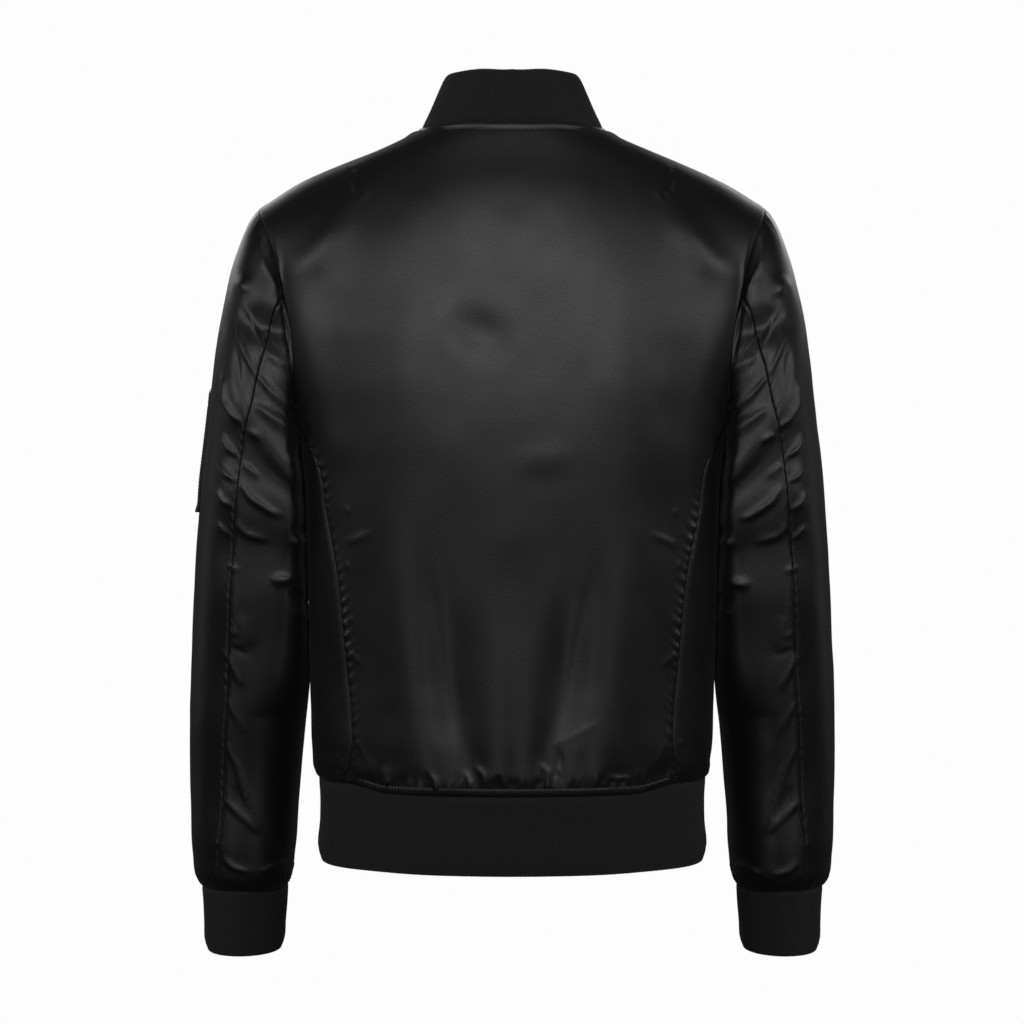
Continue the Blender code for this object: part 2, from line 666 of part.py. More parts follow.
def profile_mesh(name, outline, half_width):
    """A Y and Z outline made into a plate that is twice half_width wide along X."""
    shape = bmesh.new()
    corners = [shape.verts.new((-half_width, y, z)) for y, z in outline]
    face = shape.faces.new(corners)
    grown = bmesh.ops.extrude_face_region(shape, geom=[face])["geom"]
    moved = [item for item in grown if isinstance(item, bmesh.types.BMVert)]
    bmesh.ops.translate(shape, vec=(2 * half_width, 0, 0), verts=moved)
    bmesh.ops.recalc_face_normals(shape, faces=shape.faces)
    return mesh_of(name, shape)


def mesh_of(name, shape):
    """A mesh from a bmesh, which is freed."""
    mesh = bpy.data.meshes.new(name)
    shape.to_mesh(mesh)
    shape.free()
    return mesh


def placed(name, mesh, parent, material=None):
    """An object with this mesh under a parent, left out of renders if it has no material."""
    piece = bpy.data.objects.new(name, mesh)
    bpy.context.scene.collection.objects.link(piece)
    piece.parent = parent
    if material:
        mesh.materials.append(material)
    else:
        piece.hide_render = True
        piece.display_type = "WIRE"
    return piece


def join(piece, helper, operation):
    """Adds a live Boolean to a piece."""
    step = piece.modifiers.new(helper.name, "BOOLEAN")
    step.operation = operation
    step.object = helper


def make_slider(parent, material):
    """The slider: a front and a back plate joined above the chain, with ears for the tab.

    In its own frame Z runs up the zip and -Y away from the body. Y is 0 on the
    front face of the tapes.
    """
    front = -(CHAIN_THICK + 2 * SLIDER_FINGER_GAP)
    back = TAPE_WALL + SLIDER_FINGER_GAP
    foot = -SLIDER_LENGTH
    outline = [
        (front, foot), (front, 0.0), (back, 0.0), (back, foot), (back + SLIDER_PLATE, foot),
        (back + SLIDER_PLATE, SLIDER_CROWN), (front - SLIDER_PLATE, SLIDER_CROWN),
        (front - SLIDER_PLATE, foot),
    ]
    shape = profile_mesh("zip_slider", outline, SLIDER_HALF_WIDTH)
    slider = placed("zip_slider", shape, parent, material)
    face = front - SLIDER_PLATE
    pin_y = face - PIN_STANDOFF
    pin_z = -PIN_BELOW_TOP
    ear = (EAR_THICK, EAR_REACH + EAR_ROOT, EAR_HEIGHT)
    for side, label in ((1, "left"), (-1, "right")):
        middle = (side * (EAR_INSIDE + EAR_THICK / 2), face + EAR_ROOT - ear[1] / 2, pin_z)
        name = f"slider_ear_{label}"
        join(slider, placed(name, box_mesh(name, ear, middle), parent), "UNION")
    pin = rod_mesh("slider_pin", PIN_RADIUS, EAR_INSIDE + EAR_THICK / 2, (0, pin_y, pin_z))
    join(slider, placed("slider_pin", pin, parent), "UNION")
    return pin_y, pin_z


def make_pull_tab(parent, pin_y, pin_z, material):
    """The pull tab, hung by its eye on the slider's pin. Its origin is the pin's middle."""
    half = TAB_THICK / 2
    neck_turn = math.asin(half / TAB_EYE_RADIUS)
    turn = np.linspace(neck_turn, 2 * math.pi - neck_turn, ROUND_SEGMENTS)
    outline = [(TAB_EYE_RADIUS * math.sin(t), -TAB_EYE_RADIUS * math.cos(t)) for t in turn]
    outline += [(-half, -TAB_NECK_LENGTH), (half, -TAB_NECK_LENGTH)]
    shape = profile_mesh("zip_pull_tab", outline, TAB_EYE_HALF_WIDTH)
    tab = placed("zip_pull_tab", shape, parent, material)
    tab.location = (0, pin_y, pin_z)
    hole = rod_mesh("tab_eye_hole", TAB_EYE_HOLE, 2 * TAB_EYE_HALF_WIDTH)
    hole = placed("tab_eye_hole", hole, tab)
    join(tab, hole, "DIFFERENCE")
    size = (2 * TAB_HALF_WIDTH, TAB_THICK, TAB_PLATE_LENGTH)
    middle = (0, 0, TAB_OVERLAP - TAB_NECK_LENGTH - TAB_PLATE_LENGTH / 2)
    plate = placed("tab_plate", box_mesh("tab_plate", size, middle), tab)
    soften = plate.modifiers.new("rounded corners", "BEVEL")
    soften.width = TAB_ROUNDING
    soften.segments = 1
    join(tab, plate, "UNION")


# ================================================================ the jacket
def zip_line(front, hem):
    """The left front's centre edge from the neck to the foot of the hem, and its outward way."""
    line = np.vstack([front[:, 0], hem[1:-1, 0]])
    down = np.gradient(line, axis=0)
    down[:, 0] = 0.0
    return line, unit(np.cross(down, [1.0, 0.0, 0.0]))


def strip(line, outward, inner_x, outer_x, behind, thick):
    """Outer and inner grids of a flat strip that runs down behind the zip line."""
    grids = []
    for depth in (behind, behind + thick):
        row = line - outward * depth
        grids.append(np.stack([row * [0, 1, 1] + [x, 0, 0] for x in (inner_x, outer_x)], axis=1))
    return grids


def make_zip(front, hem, materials):
    """Tapes, chain, retainer box, slider and pull tab down the front opening."""
    line, outward = zip_line(front, hem)
    wall = np.where(line[:, 2] < HEM_SEAM_HEIGHT + TAPE_STEP, RIB_WALL, SATIN_WALL)
    behind = wall[:, None] + TAPE_GAP
    tape = strip(line, outward, TAPE_INNER, TAPE_OUTER, behind, TAPE_WALL)
    wall_object("zip_tape_left", *tape, materials["tape"])
    wall_object("zip_tape_right", *(mirrored(grid) for grid in tape), materials["tape"])

    kept = (line[:, 2] > CHAIN_BOTTOM) & (np.arange(len(line)) >= CHAIN_TOP_ROW)
    last = np.flatnonzero(kept)[-1]
    share = (CHAIN_BOTTOM - line[last, 2]) / (line[last + 1, 2] - line[last, 2])
    run = np.vstack([line[kept], line[last] + (line[last + 1] - line[last]) * share])
    way = np.vstack([outward[kept], outward[-1:]])
    depth = np.vstack([behind[kept], behind[-1:]]) - SEAM_GAP - CHAIN_THICK
    chain = strip(run, way, -CHAIN_HALF_WIDTH, CHAIN_HALF_WIDTH, depth, CHAIN_THICK)
    wall_object("zip_chain", *chain, materials["metal"])

    foot_y = (line[-1] - outward[-1] * behind[-1])[1] - SEAM_GAP
    box_middle = (0, foot_y - BOX_SIZE[1] / 2, line[-1, 2] + BOX_SIZE[2] / 2)
    shape = box_mesh("zip_retainer_box", BOX_SIZE, box_middle)
    box = placed("zip_retainer_box", shape, None, materials["metal"])
    soften = box.modifiers.new("rounded edges", "BEVEL")
    soften.width = BOX_ROUNDING
    soften.segments = 1

    seat = bpy.data.objects.new("zip_slider_seat", None)
    bpy.context.scene.collection.objects.link(seat)
    top = line[0] - outward[0] * behind[0]
    seat.location = (0, top[1], top[2] + SLIDER_FINGER_GAP)
    lean = line[1] - line[0]
    seat.rotation_euler = (math.atan2(lean[1], -lean[2]), 0, 0)
    pin_y, pin_z = make_slider(seat, materials["metal"])
    make_pull_tab(seat, pin_y, pin_z, materials["metal"])


def make_pocket(upper, material):
    """The pocket on the left upper sleeve, made from the sleeve's own points moved out."""
    rows = slice(POCKET_FIRST_STEP, POCKET_LAST_STEP + 1)
    columns = slice(POCKET_FIRST_COLUMN, POCKET_LAST_COLUMN + 1)
    base, normals = upper.outer[rows, columns], upper.normals[rows, columns]
    lift = np.full(base.shape[:2] + (1,), SEAM_GAP)
    thick = np.full_like(lift, POCKET_WALL)
    thick[-1] += POCKET_LIP
    wall_object(
        "sleeve_pocket", base + normals * (lift + thick), base + normals * lift, material
    )


def make_jacket():
    """Builds every piece of the jacket."""
    satin = finish("black satin", (0.030, 0.030, 0.032), 0.38)
    rib = finish("black knit rib", (0.010, 0.010, 0.011), 0.95)
    materials = {
        "tape": finish("black zip tape", (0.012, 0.012, 0.013), 0.9),
        "metal": finish("dark zip metal", (0.10, 0.10, 0.11), 0.35, 1.0),
    }

    half_back, front_left = half_panel(1), half_panel(-1)
    back = np.concatenate([half_back[:, ::-1], (half_back * [-1, 1, 1])[:, 1:]], axis=1)
    arm_rows = len(UPPER_STEPS) + BODY_HEIGHTS.index(SIDE_TOP_HEIGHT)
    side_left = side_panel(BODY_HEIGHTS.index(SIDE_TOP_HEIGHT))
    side_left[:, 0] = front_left[arm_rows:, -1]
    side_left[:, -1] = half_back[arm_rows:, -1]

    from_tip_back = half_back[: arm_rows + 1, -1]
    under = side_left[0, ::-1]
    to_tip_front = front_left[arm_rows::-1, -1]
    armhole = np.vstack([from_tip_back[:-1], under[:-1], to_tip_front[:-1]])
    armhole = np.roll(armhole, -BACK_SEAM_ROWS_DOWN, axis=0)
    front_seam = len(armhole) - FRONT_SEAM_ROWS_DOWN - BACK_SEAM_ROWS_DOWN
    sleeve, cuff_angles = sleeve_rings(armhole, 0, front_seam)
    cuff = cuff_rings(sleeve[-1], cuff_angles)

    hem_left = np.vstack([front_left[-1, :-1], side_left[-1, :-1]])
    hem_seam = np.vstack([hem_left, back[-1], hem_left[::-1] * [-1, 1, 1]])
    neck_back = back[0, SHOULDER_COLUMNS:-SHOULDER_COLUMNS]
    neck_left = front_left[0, :NECK_FRONT_COLUMNS]
    neck_seam = np.vstack([neck_left, neck_back, neck_left[::-1] * [-1, 1, 1]])
    hem, collar = hem_rows(hem_seam), collar_rows(neck_seam)

    panels = {}

    def add(name, grid, wall, material, is_round=False):
        panels[name] = Panel(name, grid, wall, material, is_round)

    add("back_panel", back, SATIN_WALL, satin)
    for side, turn in (("left", lambda grid: grid), ("right", mirrored)):
        add(f"front_{side}", turn(front_left), SATIN_WALL, satin)
        add(f"side_panel_{side}", turn(side_left), SATIN_WALL, satin)
        add(f"under_sleeve_{side}", turn(sleeve[:, : front_seam + 1]), SATIN_WALL, satin)
        add(f"upper_sleeve_{side}", turn(sleeve[:, front_seam:]), SATIN_WALL, satin)
        add(f"cuff_{side}", turn(cuff), RIB_WALL, rib, is_round=True)
    add("hem_rib", hem, RIB_WALL, rib)
    add("collar_rib", collar, RIB_WALL, rib)

    part_seams(list(panels.values()))
    for panel in panels.values():
        wall_object(panel.name, panel.outer, panel.inner, panel.material, panel.is_round)
    make_pocket(panels["upper_sleeve_left"], satin)
    make_zip(front_left, hem, materials)


clear_scene()
make_jacket()
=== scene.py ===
"""Satin bomber jacket, filled out as if worn and hollow inside: the visible model.

Frame: metres, +Z up. The back of the jacket faces +Y and the wearer's left is +X.
The origin is the middle of the neck opening, level with the tops of the shoulders.

Each piece of cloth is a grid whose rows run down the cloth and whose columns run
anticlockwise seen from above. The smooth form comes first, then its relief (creases,
seams, puckers) is laid on along the cloth's own outward direction.
"""

import itertools
import logging
import math
from collections import namedtuple
from dataclasses import dataclass, replace
from enum import Enum
from typing import Callable, NamedTuple, Sequence

import bpy
import numpy as np
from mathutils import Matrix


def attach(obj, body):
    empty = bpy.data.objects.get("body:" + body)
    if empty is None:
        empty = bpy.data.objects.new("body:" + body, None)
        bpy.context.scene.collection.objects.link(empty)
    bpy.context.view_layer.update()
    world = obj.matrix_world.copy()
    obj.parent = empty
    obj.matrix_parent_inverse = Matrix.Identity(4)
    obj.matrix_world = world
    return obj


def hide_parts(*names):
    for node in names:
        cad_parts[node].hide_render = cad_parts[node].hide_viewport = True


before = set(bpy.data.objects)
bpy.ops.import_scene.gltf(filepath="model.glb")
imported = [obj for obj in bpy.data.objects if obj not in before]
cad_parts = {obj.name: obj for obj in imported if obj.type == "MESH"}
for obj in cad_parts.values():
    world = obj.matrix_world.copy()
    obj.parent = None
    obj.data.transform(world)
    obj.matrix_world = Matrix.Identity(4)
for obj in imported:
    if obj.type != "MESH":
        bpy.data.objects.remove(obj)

Grid = np.ndarray
Surface = Callable[[Grid, Grid], Grid]
Piece, Material = bpy.types.Object, bpy.types.Material
Tree, Socket = bpy.types.NodeTree, bpy.types.NodeSocket
MM = 0.001
MIRROR = np.array([-1.0, 1.0, 1.0])
JACKET = "jacket"
log = logging.getLogger("bomber jacket")


class Side(Enum):
    """The wearer's two sides, as the sign of X."""

    LEFT = 1
    RIGHT = -1

    def of(self, piece: str) -> str:
        """A piece's name on this side."""
        return f"{piece}_{self.name.lower()}"


class Face(Enum):
    """The two faces of the body, as the sign of Y."""

    BACK = 1
    FRONT = -1


class Crease(NamedTuple):
    """A crease drawn on the cloth seen square on, in mm.

    path: points (x from the middle, height); width: half-width; depth: how far its crest
    stands out (+) or its bottom sinks (-); soft: a plain bell across.
    """

    path: tuple[tuple[float, float], ...]
    width: float
    depth: float
    soft: bool


def table(text: str) -> tuple[NamedTuple, ...]:
    """A printed table's rows of numbers, with the fields that its first line names."""
    heading, *rows = (line.split() for line in text.strip().splitlines())
    kind = namedtuple("Row", heading)
    return tuple(kind(*map(float, row)) for row in rows)


def creases(text: str) -> tuple[Crease, ...]:
    """Creases from a printed list: each path's points | its width, depth and perhaps soft."""
    found = []
    for line in text.strip().splitlines():
        path, sizes = line.split("|")
        width, depth, *soft = sizes.split()
        points = tuple(tuple(map(float, point.split(","))) for point in path.split())
        found.append(Crease(points, float(width), float(depth), bool(soft)))
    return tuple(found)


# ================================================================ the cut, in metres
# Top of the shoulders, and how steeply (degrees) the back and front fall from it.
RIDGE = table("""
x height back_pitch front_pitch
0 0.029 13 52
0.04 0.02 6 47
0.0802 0.0018 2 33
0.11 -0.0117 3 21
0.15 -0.028 6 12
0.185 -0.0434 8 9
0.2212 -0.0655 8 8
""")

# Level sections of the body: a rounded box with its own depth behind and before.
BODY = table("""
height half_width back_depth front_depth power
-0.15 0.215 0.118 0.108 2.85
-0.19 0.206 0.123 0.115 2.9
-0.22 0.1978 0.1245 0.118 2.95
-0.2527 0.189 0.125 0.12 2.95
-0.285 0.1838 0.1245 0.121 2.9
-0.305 0.1815 0.1235 0.121 2.85
-0.34 0.18 0.121 0.1205 2.75
-0.43 0.1782 0.115 0.119 2.5
-0.475 0.1772 0.1145 0.119 2.32
-0.5 0.1764 0.1145 0.119 2.3
-0.535 0.1755 0.1142 0.1195 2.28
-0.555 0.1735 0.1123 0.116 2.24
-0.57 0.1695 0.109 0.1105 2.2
""")

# Outer edge of the back and of a front: the armhole, then the side seam.
PANEL_EDGES = table("""
height back_x front_x
-0.15 0.1935 0.188
-0.19 0.1862 0.1815
-0.22 0.1837 0.1805
-0.2527 0.1832 0.1832
-0.276 0.1724 0.1745
-0.294 0.1646 0.169
-0.333 0.1583 0.1625
-0.3877 0.1482 0.156
-0.4534 0.1419 0.1515
-0.5063 0.1371 0.149
-0.5257 0.1362 0.1485
-0.552 0.1398 0.148
-0.57 0.143 0.1475
""")

# Broad soft folds of the back: how far each stands out (+) or sinks (-).
BACK_FOLDS = table("""
x height reach_x reach_height depth
0.105 -0.225 0.03 0.06 0.003
0 -0.2 0.055 0.05 -0.002
0.12 -0.33 0.035 0.09 -0.0015
0.04 -0.45 0.018 0.08 -0.0035
0 -0.44 0.03 0.09 0.002
0.125 -0.56 0.032 0.062 -0.005
""")

# Rings of the sleeve through an outer and an inner point, half_depth deep each way.
SLEEVE = table("""
along outer_x outer_z inner_x inner_z middle_y half_depth
0 0.2212 -0.0655 0.1838 -0.285 0 0.068
0.04 0.2305 -0.078 0.1846 -0.2862 0 0.073
0.1 0.2405 -0.103 0.185 -0.289 -0.001 0.079
0.2 0.2526 -0.149 0.1847 -0.296 -0.002 0.085
0.34 0.2638 -0.2241 0.1825 -0.312 -0.005 0.0875
0.5 0.2756 -0.3326 0.1805 -0.3561 -0.011 0.0845
0.66 0.283 -0.4287 0.1795 -0.431 -0.021 0.077
0.73 0.2859 -0.4769 0.1797 -0.4769 -0.0265 0.0735
0.8 0.2877 -0.523 0.1853 -0.523 -0.032 0.07
0.9 0.288 -0.5908 0.191 -0.5908 -0.038 0.065
0.96 0.2864 -0.6361 0.1947 -0.6361 -0.041 0.061
0.985 0.2836 -0.6567 0.1976 -0.6556 -0.042 0.057
1 0.278 -0.6659 0.2017 -0.6659 -0.0425 0.05
""")

# Angles of the sleeve's seams: outer side 0, back 90, inner side 180 degrees.
SLEEVE_SEAMS = table("""
along back_angle front_angle
0.03 136 240
0.06 130 240
0.1 114.5 240
0.15 101.5 240
0.2 96.2 240
0.25 92.8 241
0.34 86.6 242
0.5 81 244
0.66 78 246
0.8 77 247
0.9 74.5 247.5
1 65 248
""")

# Broad soft folds of the sleeve, reach_angle degrees wide round it.
SLEEVE_FOLDS = table("""
along angle reach reach_angle depth
0.3 75 0.05 45 0.003
0.38 120 0.04 50 -0.003
0.46 60 0.04 55 0.0025
0.54 110 0.045 60 -0.003
0.62 80 0.05 60 0.002
0.72 290 0.06 60 -0.003
0.87 95 0.06 60 -0.003
""")

# Level rings of the cuff.
CUFF = table("""
height outer_x inner_x middle_y half_depth
-0.6659 0.278 0.2017 -0.0425 0.05
-0.6813 0.2768 0.2025 -0.043 0.048
-0.6998 0.2761 0.2041 -0.0435 0.047
-0.7173 0.2752 0.2056 -0.044 0.0462
-0.7249 0.2724 0.2085 -0.044 0.0435
""")

# Level rings of the hem rib, as shares of the seam that it hangs from.
HEM = table("""
height width_scale depth_scale
-0.57 1 1
-0.582 0.993 0.993
-0.605 0.993 0.993
-0.628 1.0015 0.998
-0.6375 0.982 0.978
""")

# Rings of the collar: its level (0 at the seam), scales, and how far it has risen.
COLLAR = table("""
level width_scale depth_scale back_rise front_rise
0 1 1 0 0
1 0.9 0.955 0.0165 0.013
2 0.818 0.905 0.032 0.025
3 0.748 0.86 0.0445 0.034
4 0.7 0.825 0.049 0.037
""")

UPPER_STEPS = (0.0, 0.24, 0.48, 0.74, 1.0)
ROW_HEIGHTS = (
    -0.15, -0.19, -0.22, -0.2527, -0.284, -0.32, -0.36,
    -0.405, -0.45, -0.495, -0.53, -0.553, -0.57,
)
YOKE_ROW, ARM_ROW, LAST_ROW = 4, 7, 16

# Creases that the left and the right half of the back share, nearly alike.
BACK_PAIRED_CREASES = creases("""
120,-55 147.1,-95.5 165.8,-118.8 205,-140 | 14 3 soft
208.9,-83.2 203.5,-94 197.3,-121.7 195.6,-142.2 192.8,-161.2 187.5,-191.1 | 1.6 1
114,-130 116.9,-204.2 122,-290 | 20 -2 soft
110,-370 112.8,-482.2 104,-600 | 20 -2 soft
139.4,-332.2 136.7,-330.5 | 2.5 0.8
138.7,-359.1 116.8,-349.7 | 2.5 0.8
139.7,-379.4 137,-377.7 | 2.5 0.7
136.3,-425 133.7,-423.2 | 2.5 0.7
140.8,-449.7 127.6,-460.1 | 2.5 0.7
140.5,-32 129.4,-70 | 2 -1.1
129.3,-71 132.4,-61 | 1.7 0.9
129.3,-71 122,-62.5 | 1.7 0.9
141.4,-34.8 131.2,-34.6 | 1.2 0.5
139.6,-42 129.8,-40.9 | 1.2 0.5
137.2,-48.4 128.5,-47.2 | 1.2 0.5
133.8,-522.8 120.8,-547.5 | 2 0.5
106.9,-547.5 107.2,-563.1 | 3.5 0.9
""")

# The back's own: a dimple, two troughs and the ridges beside them.
BACK_CREASES = creases("""
58,-166 27,-184 -6,-202 | 18 -3.9 soft
8,-293 -62,-287 | 13 1.1 soft
75,-310 61,-400 55,-475 47,-515 14,-630 | 17 -8.6 soft
-74,-310 -56,-420 -46,-480 -36,-520 -14,-630 | 17 -7.3 soft
96,-330 79,-489.4 48,-640 | 24 1 soft
-98,-330 -80,-489.4 -50,-640 | 24 1 soft
9,-340 6,-470 1,-620 | 18 2.2 soft
36.2,-15.7 1.4,-16.1 | 5 0.6
""")

# Short pulls in the cloth that is gathered onto the hem.
HEM_PULLS = creases("""
70,-549 64,-557 60,-580 | 2.6 2.2
78.3,-556 78,-580 | 2 1.5
52,-557 51,-580 | 2 1.4
40,-549 36,-560 36.5,-581 | 2.4 2.2
30.5,-545 24,-552 20.1,-566 | 2.6 1.6
33,-556 31,-581 | 2 2.2
26,-557 24,-581 | 2 1.9
11.3,-551 11,-570 | 2.5 -1.6
3,-558 3,-580 | 2.2 0.9
-24,-543 -30,-550 -29,-566 | 3 2.4
-36.7,-553 -36,-581 | 2.6 2.4
-40,-531 -40,-547 | 2.6 -1.6
-43,-557 -41,-581 | 2 1.7
-30,-558 -31,-581 | 2 1.7
-32,-529 -52,-519 -74,-507 | 2.4 0.45
-80,-554 -89,-556 -99,-556 | 2.2 1.5
-86,-557 -85,-581 | 2 1.6
-94,-557 -93,-581 | 2 1.6
-103,-557 -104,-580 | 2 1.2
105,-556 104,-580 | 2 1.2
""")

# Short pulls at the foot of a side panel.
SIDE_CREASES = creases("""
144.6,-528.9 143.7,-531.3 | 2.5 0.8
148.7,-553.5 144.3,-560.1 | 2.2 1
150.3,-541.5 146.6,-542 | 2.2 0.7
""")

# The closed front is smooth, with short pulls beside the zip and above the hem.
FRONT_CREASES = creases("""
60,-150 95,-215 118,-270 | 12 -1.6 soft
30,-330 52,-420 58,-520 | 10 -2.2
88,-400 92,-480 84,-540 | 16 1.4 soft
126,-380 120,-470 122,-540 | 12 -1.6 soft
28,-546 27,-562 | 3 1.1
47,-549 45,-563 | 3.5 1.3
72,-545 73,-562 | 3 1.1
96,-548 94,-563 | 4 1.2
118,-550 120,-563 | 2.6 0.9
""")

# The sleeve seen from behind, from the armhole down to the cuff.
SLEEVE_CREASES = creases("""
216.1,-102.5 212.7,-118.1 200.5,-142.6 | 1.7 2
233.9,-140.4 221.6,-143.8 | 4.5 1.6
252,-168 224,-171 195,-180 165,-190 | 13 -7.5 soft
243,-136 214,-140 | 7 2 soft
236.1,-162.7 232.8,-180.5 225,-200.6 218.3,-216.2 | 2.5 2.6
227.2,-160.5 220.5,-176.1 212.7,-187.2 | 2.2 1.9
211.6,-176.1 194.9,-192.8 | 1.2 1.2
201.6,-181.6 189.3,-187.2 | 1.5 1
208.3,-198.4 197.1,-205 188.2,-210.6 | 2.5 2.2
199.3,-195 186,-206.2 | 2.2 -1.5
203.8,-215.1 187.1,-220.6 | 1.8 1.6
216.1,-216.2 206,-229.6 181.5,-250.7 | 1.7 2.6
201.6,-221.8 186,-229.1 | 1.7 1.2
191.5,-234 177.1,-241.8 | 1.5 1.2
201.6,-240.7 184.9,-255.2 | 2.6 -1.6
217.2,-242.9 201.6,-254.1 186,-265.2 | 3.8 3.2
222.7,-264.1 211.6,-270.8 | 3 2
227.2,-292 216.1,-303.1 | 2.6 1.8
190.4,-285.3 182.6,-295.3 183.7,-307.6 | 3.8 1.6
230.5,-307.6 221.6,-320.9 201.6,-334.3 194.9,-333.2 | 3.3 2.4
235,-341 226.1,-351 208.3,-356.6 | 3 2
187.1,-358.8 179.3,-358.8 | 4.5 2.8
184.9,-345.9 177.1,-349.9 | 3.8 -2.6
246.1,-216.2 243.9,-238.5 236.1,-251.9 226.1,-258.5 | 3 3
249.5,-263 241.7,-278.6 232.8,-285.3 | 2.6 2.2
249.5,-292 241.7,-302 233.9,-306.5 | 2.2 2
252.8,-312 246.1,-323.2 237.2,-328.7 | 2.5 2
252.8,-341 243.9,-349.9 239.5,-352.1 | 2.2 1.6
233.9,-196.1 230.5,-229.6 | 3 -1.6
242.2,-378.3 232.3,-383.3 | 2.2 1.2
205.1,-391.9 187.7,-389.5 | 4.5 3
187.7,-406.8 180.3,-401.8 | 3.8 -3
186.5,-419.2 181.5,-419.2 | 3 1.5
242.2,-432.8 234.8,-439 | 2.2 1
247.2,-451.4 239.7,-466.2 232.3,-483.6 | 2.2 1.6
242.2,-448.9 226.1,-456.3 | 3 -1.2
229.8,-421.7 224.9,-448.9 | 6 1.2
245.9,-493.5 239.7,-505.9 232.3,-523.2 | 2.2 1.2
247.2,-533.1 238.5,-552.9 228.6,-592.5 226.1,-600 | 2.2 2
249.7,-582.6 234.8,-597.5 219.9,-612.4 | 3 2
241,-570.3 229.8,-601.2 | 3 -1.3
252.1,-634.6 242.2,-643.3 231.1,-647 | 2.2 2.4
218.7,-647 208,-643 200,-641.5 | 2.2 1.8
258.3,-619.8 253.4,-624.7 | 2.2 1
""")


# ================================================================ curves, noise and grids
def through(rows: Sequence[Sequence[float]], at: Grid | float) -> Grid:
    """A table's columns as smooth curves through its rows.

    Each stretch between two rows is a cubic whose slope at a row is the mean of the
    slopes either side of it, weighted by their lengths.

    Args:
        rows: The table, whose first column is the place on the curves.
        at: The places wanted.

    Returns:
        One array per other column, each shaped like at.
    """
    table = np.array(sorted(tuple(row) for row in rows))
    place, values = table[:, 0], table[:, 1:]
    step = np.diff(place)[:, None]
    rise = np.diff(values, axis=0) / step
    middle = (rise[:-1] * step[1:] + rise[1:] * step[:-1]) / (step[:-1] + step[1:])
    slope = np.vstack([rise[:1], middle, rise[-1:]])
    at = np.clip(np.asarray(at, float), place[0], place[-1])
    cell = np.clip(np.searchsorted(place, at) - 1, 0, len(step) - 1)
    width = step[cell, 0][..., None]
    u = (at - place[cell])[..., None] / width
    start = values[cell] * (1 + 2 * u) * (1 - u) ** 2 + slope[cell] * width * u * (1 - u) ** 2
    end = values[cell + 1] * u**2 * (3 - 2 * u) - slope[cell + 1] * width * u**2 * (1 - u)
    return np.moveaxis(start + end, -1, 0)


def unit(vectors: Grid) -> Grid:
    """The vectors at length 1."""
    return vectors / np.maximum(np.linalg.norm(vectors, axis=-1, keepdims=True), 1e-12)


def eased(share: Grid | float) -> Grid:
    """0 up to 0, 1 from 1 on, and between them three squares less two cubes of the share."""
    share = np.clip(share, 0, 1)
    return share**2 * (3 - 2 * share)


def curve_between(start: Grid, leave: Grid, end: Grid, arrive: Grid, s: Grid) -> Grid:
    """Cubic curves that leave their start and reach their end along given vectors.

    Args:
        start, end: Their end points.
        leave, arrive: The way out of the start and the way into the end.
        s: Shares along the curves, from 0 to 1.

    Returns:
        Points, shaped like s with a last axis of three.
    """
    s = s[..., None]
    first, second = start + leave, end - arrive
    near = start * (1 - s) ** 3 + 3 * first * s * (1 - s) ** 2
    return near + 3 * second * s**2 * (1 - s) + end * s**3


def ripple(seed: float, *places: Grid) -> Grid:
    """Smooth uneven heights from -1 to 1, with one random height on each whole step.

    The random height is the fraction of a large sine of the lattice point's numbers, and
    between lattice points the height is an eased blend of theirs.

    Args:
        seed: Picks another pattern.
        *places: One to three coordinates, in lattice steps.

    Returns:
        Heights shaped like the places.
    """
    places = np.broadcast_arrays(*(np.asarray(place, float) for place in places))
    cells = [np.floor(place) for place in places]
    shares = [eased(place - cell) for place, cell in zip(places, cells)]
    heights = np.zeros(places[0].shape)
    for corner in itertools.product((0, 1), repeat=len(places)):
        wave = seed * 74.7 + sum(
            (cell + step) * spin for cell, step, spin in zip(cells, corner, (127.1, 311.7, 269.5))
        )
        wave = np.sin(wave) * 43758.5453
        weight = math.prod(share if step else 1 - share for share, step in zip(shares, corner))
        heights += weight * (2 * (wave - np.floor(wave)) - 1)
    return heights


def running_length(grid: Grid, axis: int) -> Grid:
    """Length along the cloth from the first row (axis 0) or column (axis 1) to each point."""
    step = np.linalg.norm(np.diff(grid, axis=axis), axis=-1)
    first = np.zeros_like(step.take([0], axis=axis))
    return np.cumsum(np.concatenate([first, step], axis=axis), axis=axis)


def run_along(line: Grid) -> Grid:
    """Length along a line of points from its first to each."""
    return running_length(line[:, None], 0)[:, 0]


def interpolated(at: Grid, run: Grid, points: Grid) -> Grid:
    """Points or directions known at lengths run, found at other lengths."""
    return np.stack([np.interp(at, run, points[:, axis]) for axis in range(3)], axis=-1)


def bell(*away: Grid) -> Grid:
    """A bell round zero: the exponential of less the sum of the squares."""
    return np.exp(-sum(distance**2 for distance in away))


def between(outer: Grid | float, inner: Grid | float, share: Grid) -> Grid:
    """From the inner value at a share of -1 to the outer one at 1."""
    return (outer + inner) / 2 + (outer - inner) / 2 * share


def superellipse(ratio: Grid, power: Grid | float) -> Grid:
    """Height of a superellipse: the power's root of one less the width's share to it."""
    return (1 - ratio**power) ** (1 / power)


class Spacing(NamedTuple):
    """Distance between grid lines: fine at chosen ends, growing to coarse within reach."""

    fine: float
    coarse: float
    reach: float
    at_start: bool = True
    at_end: bool = True


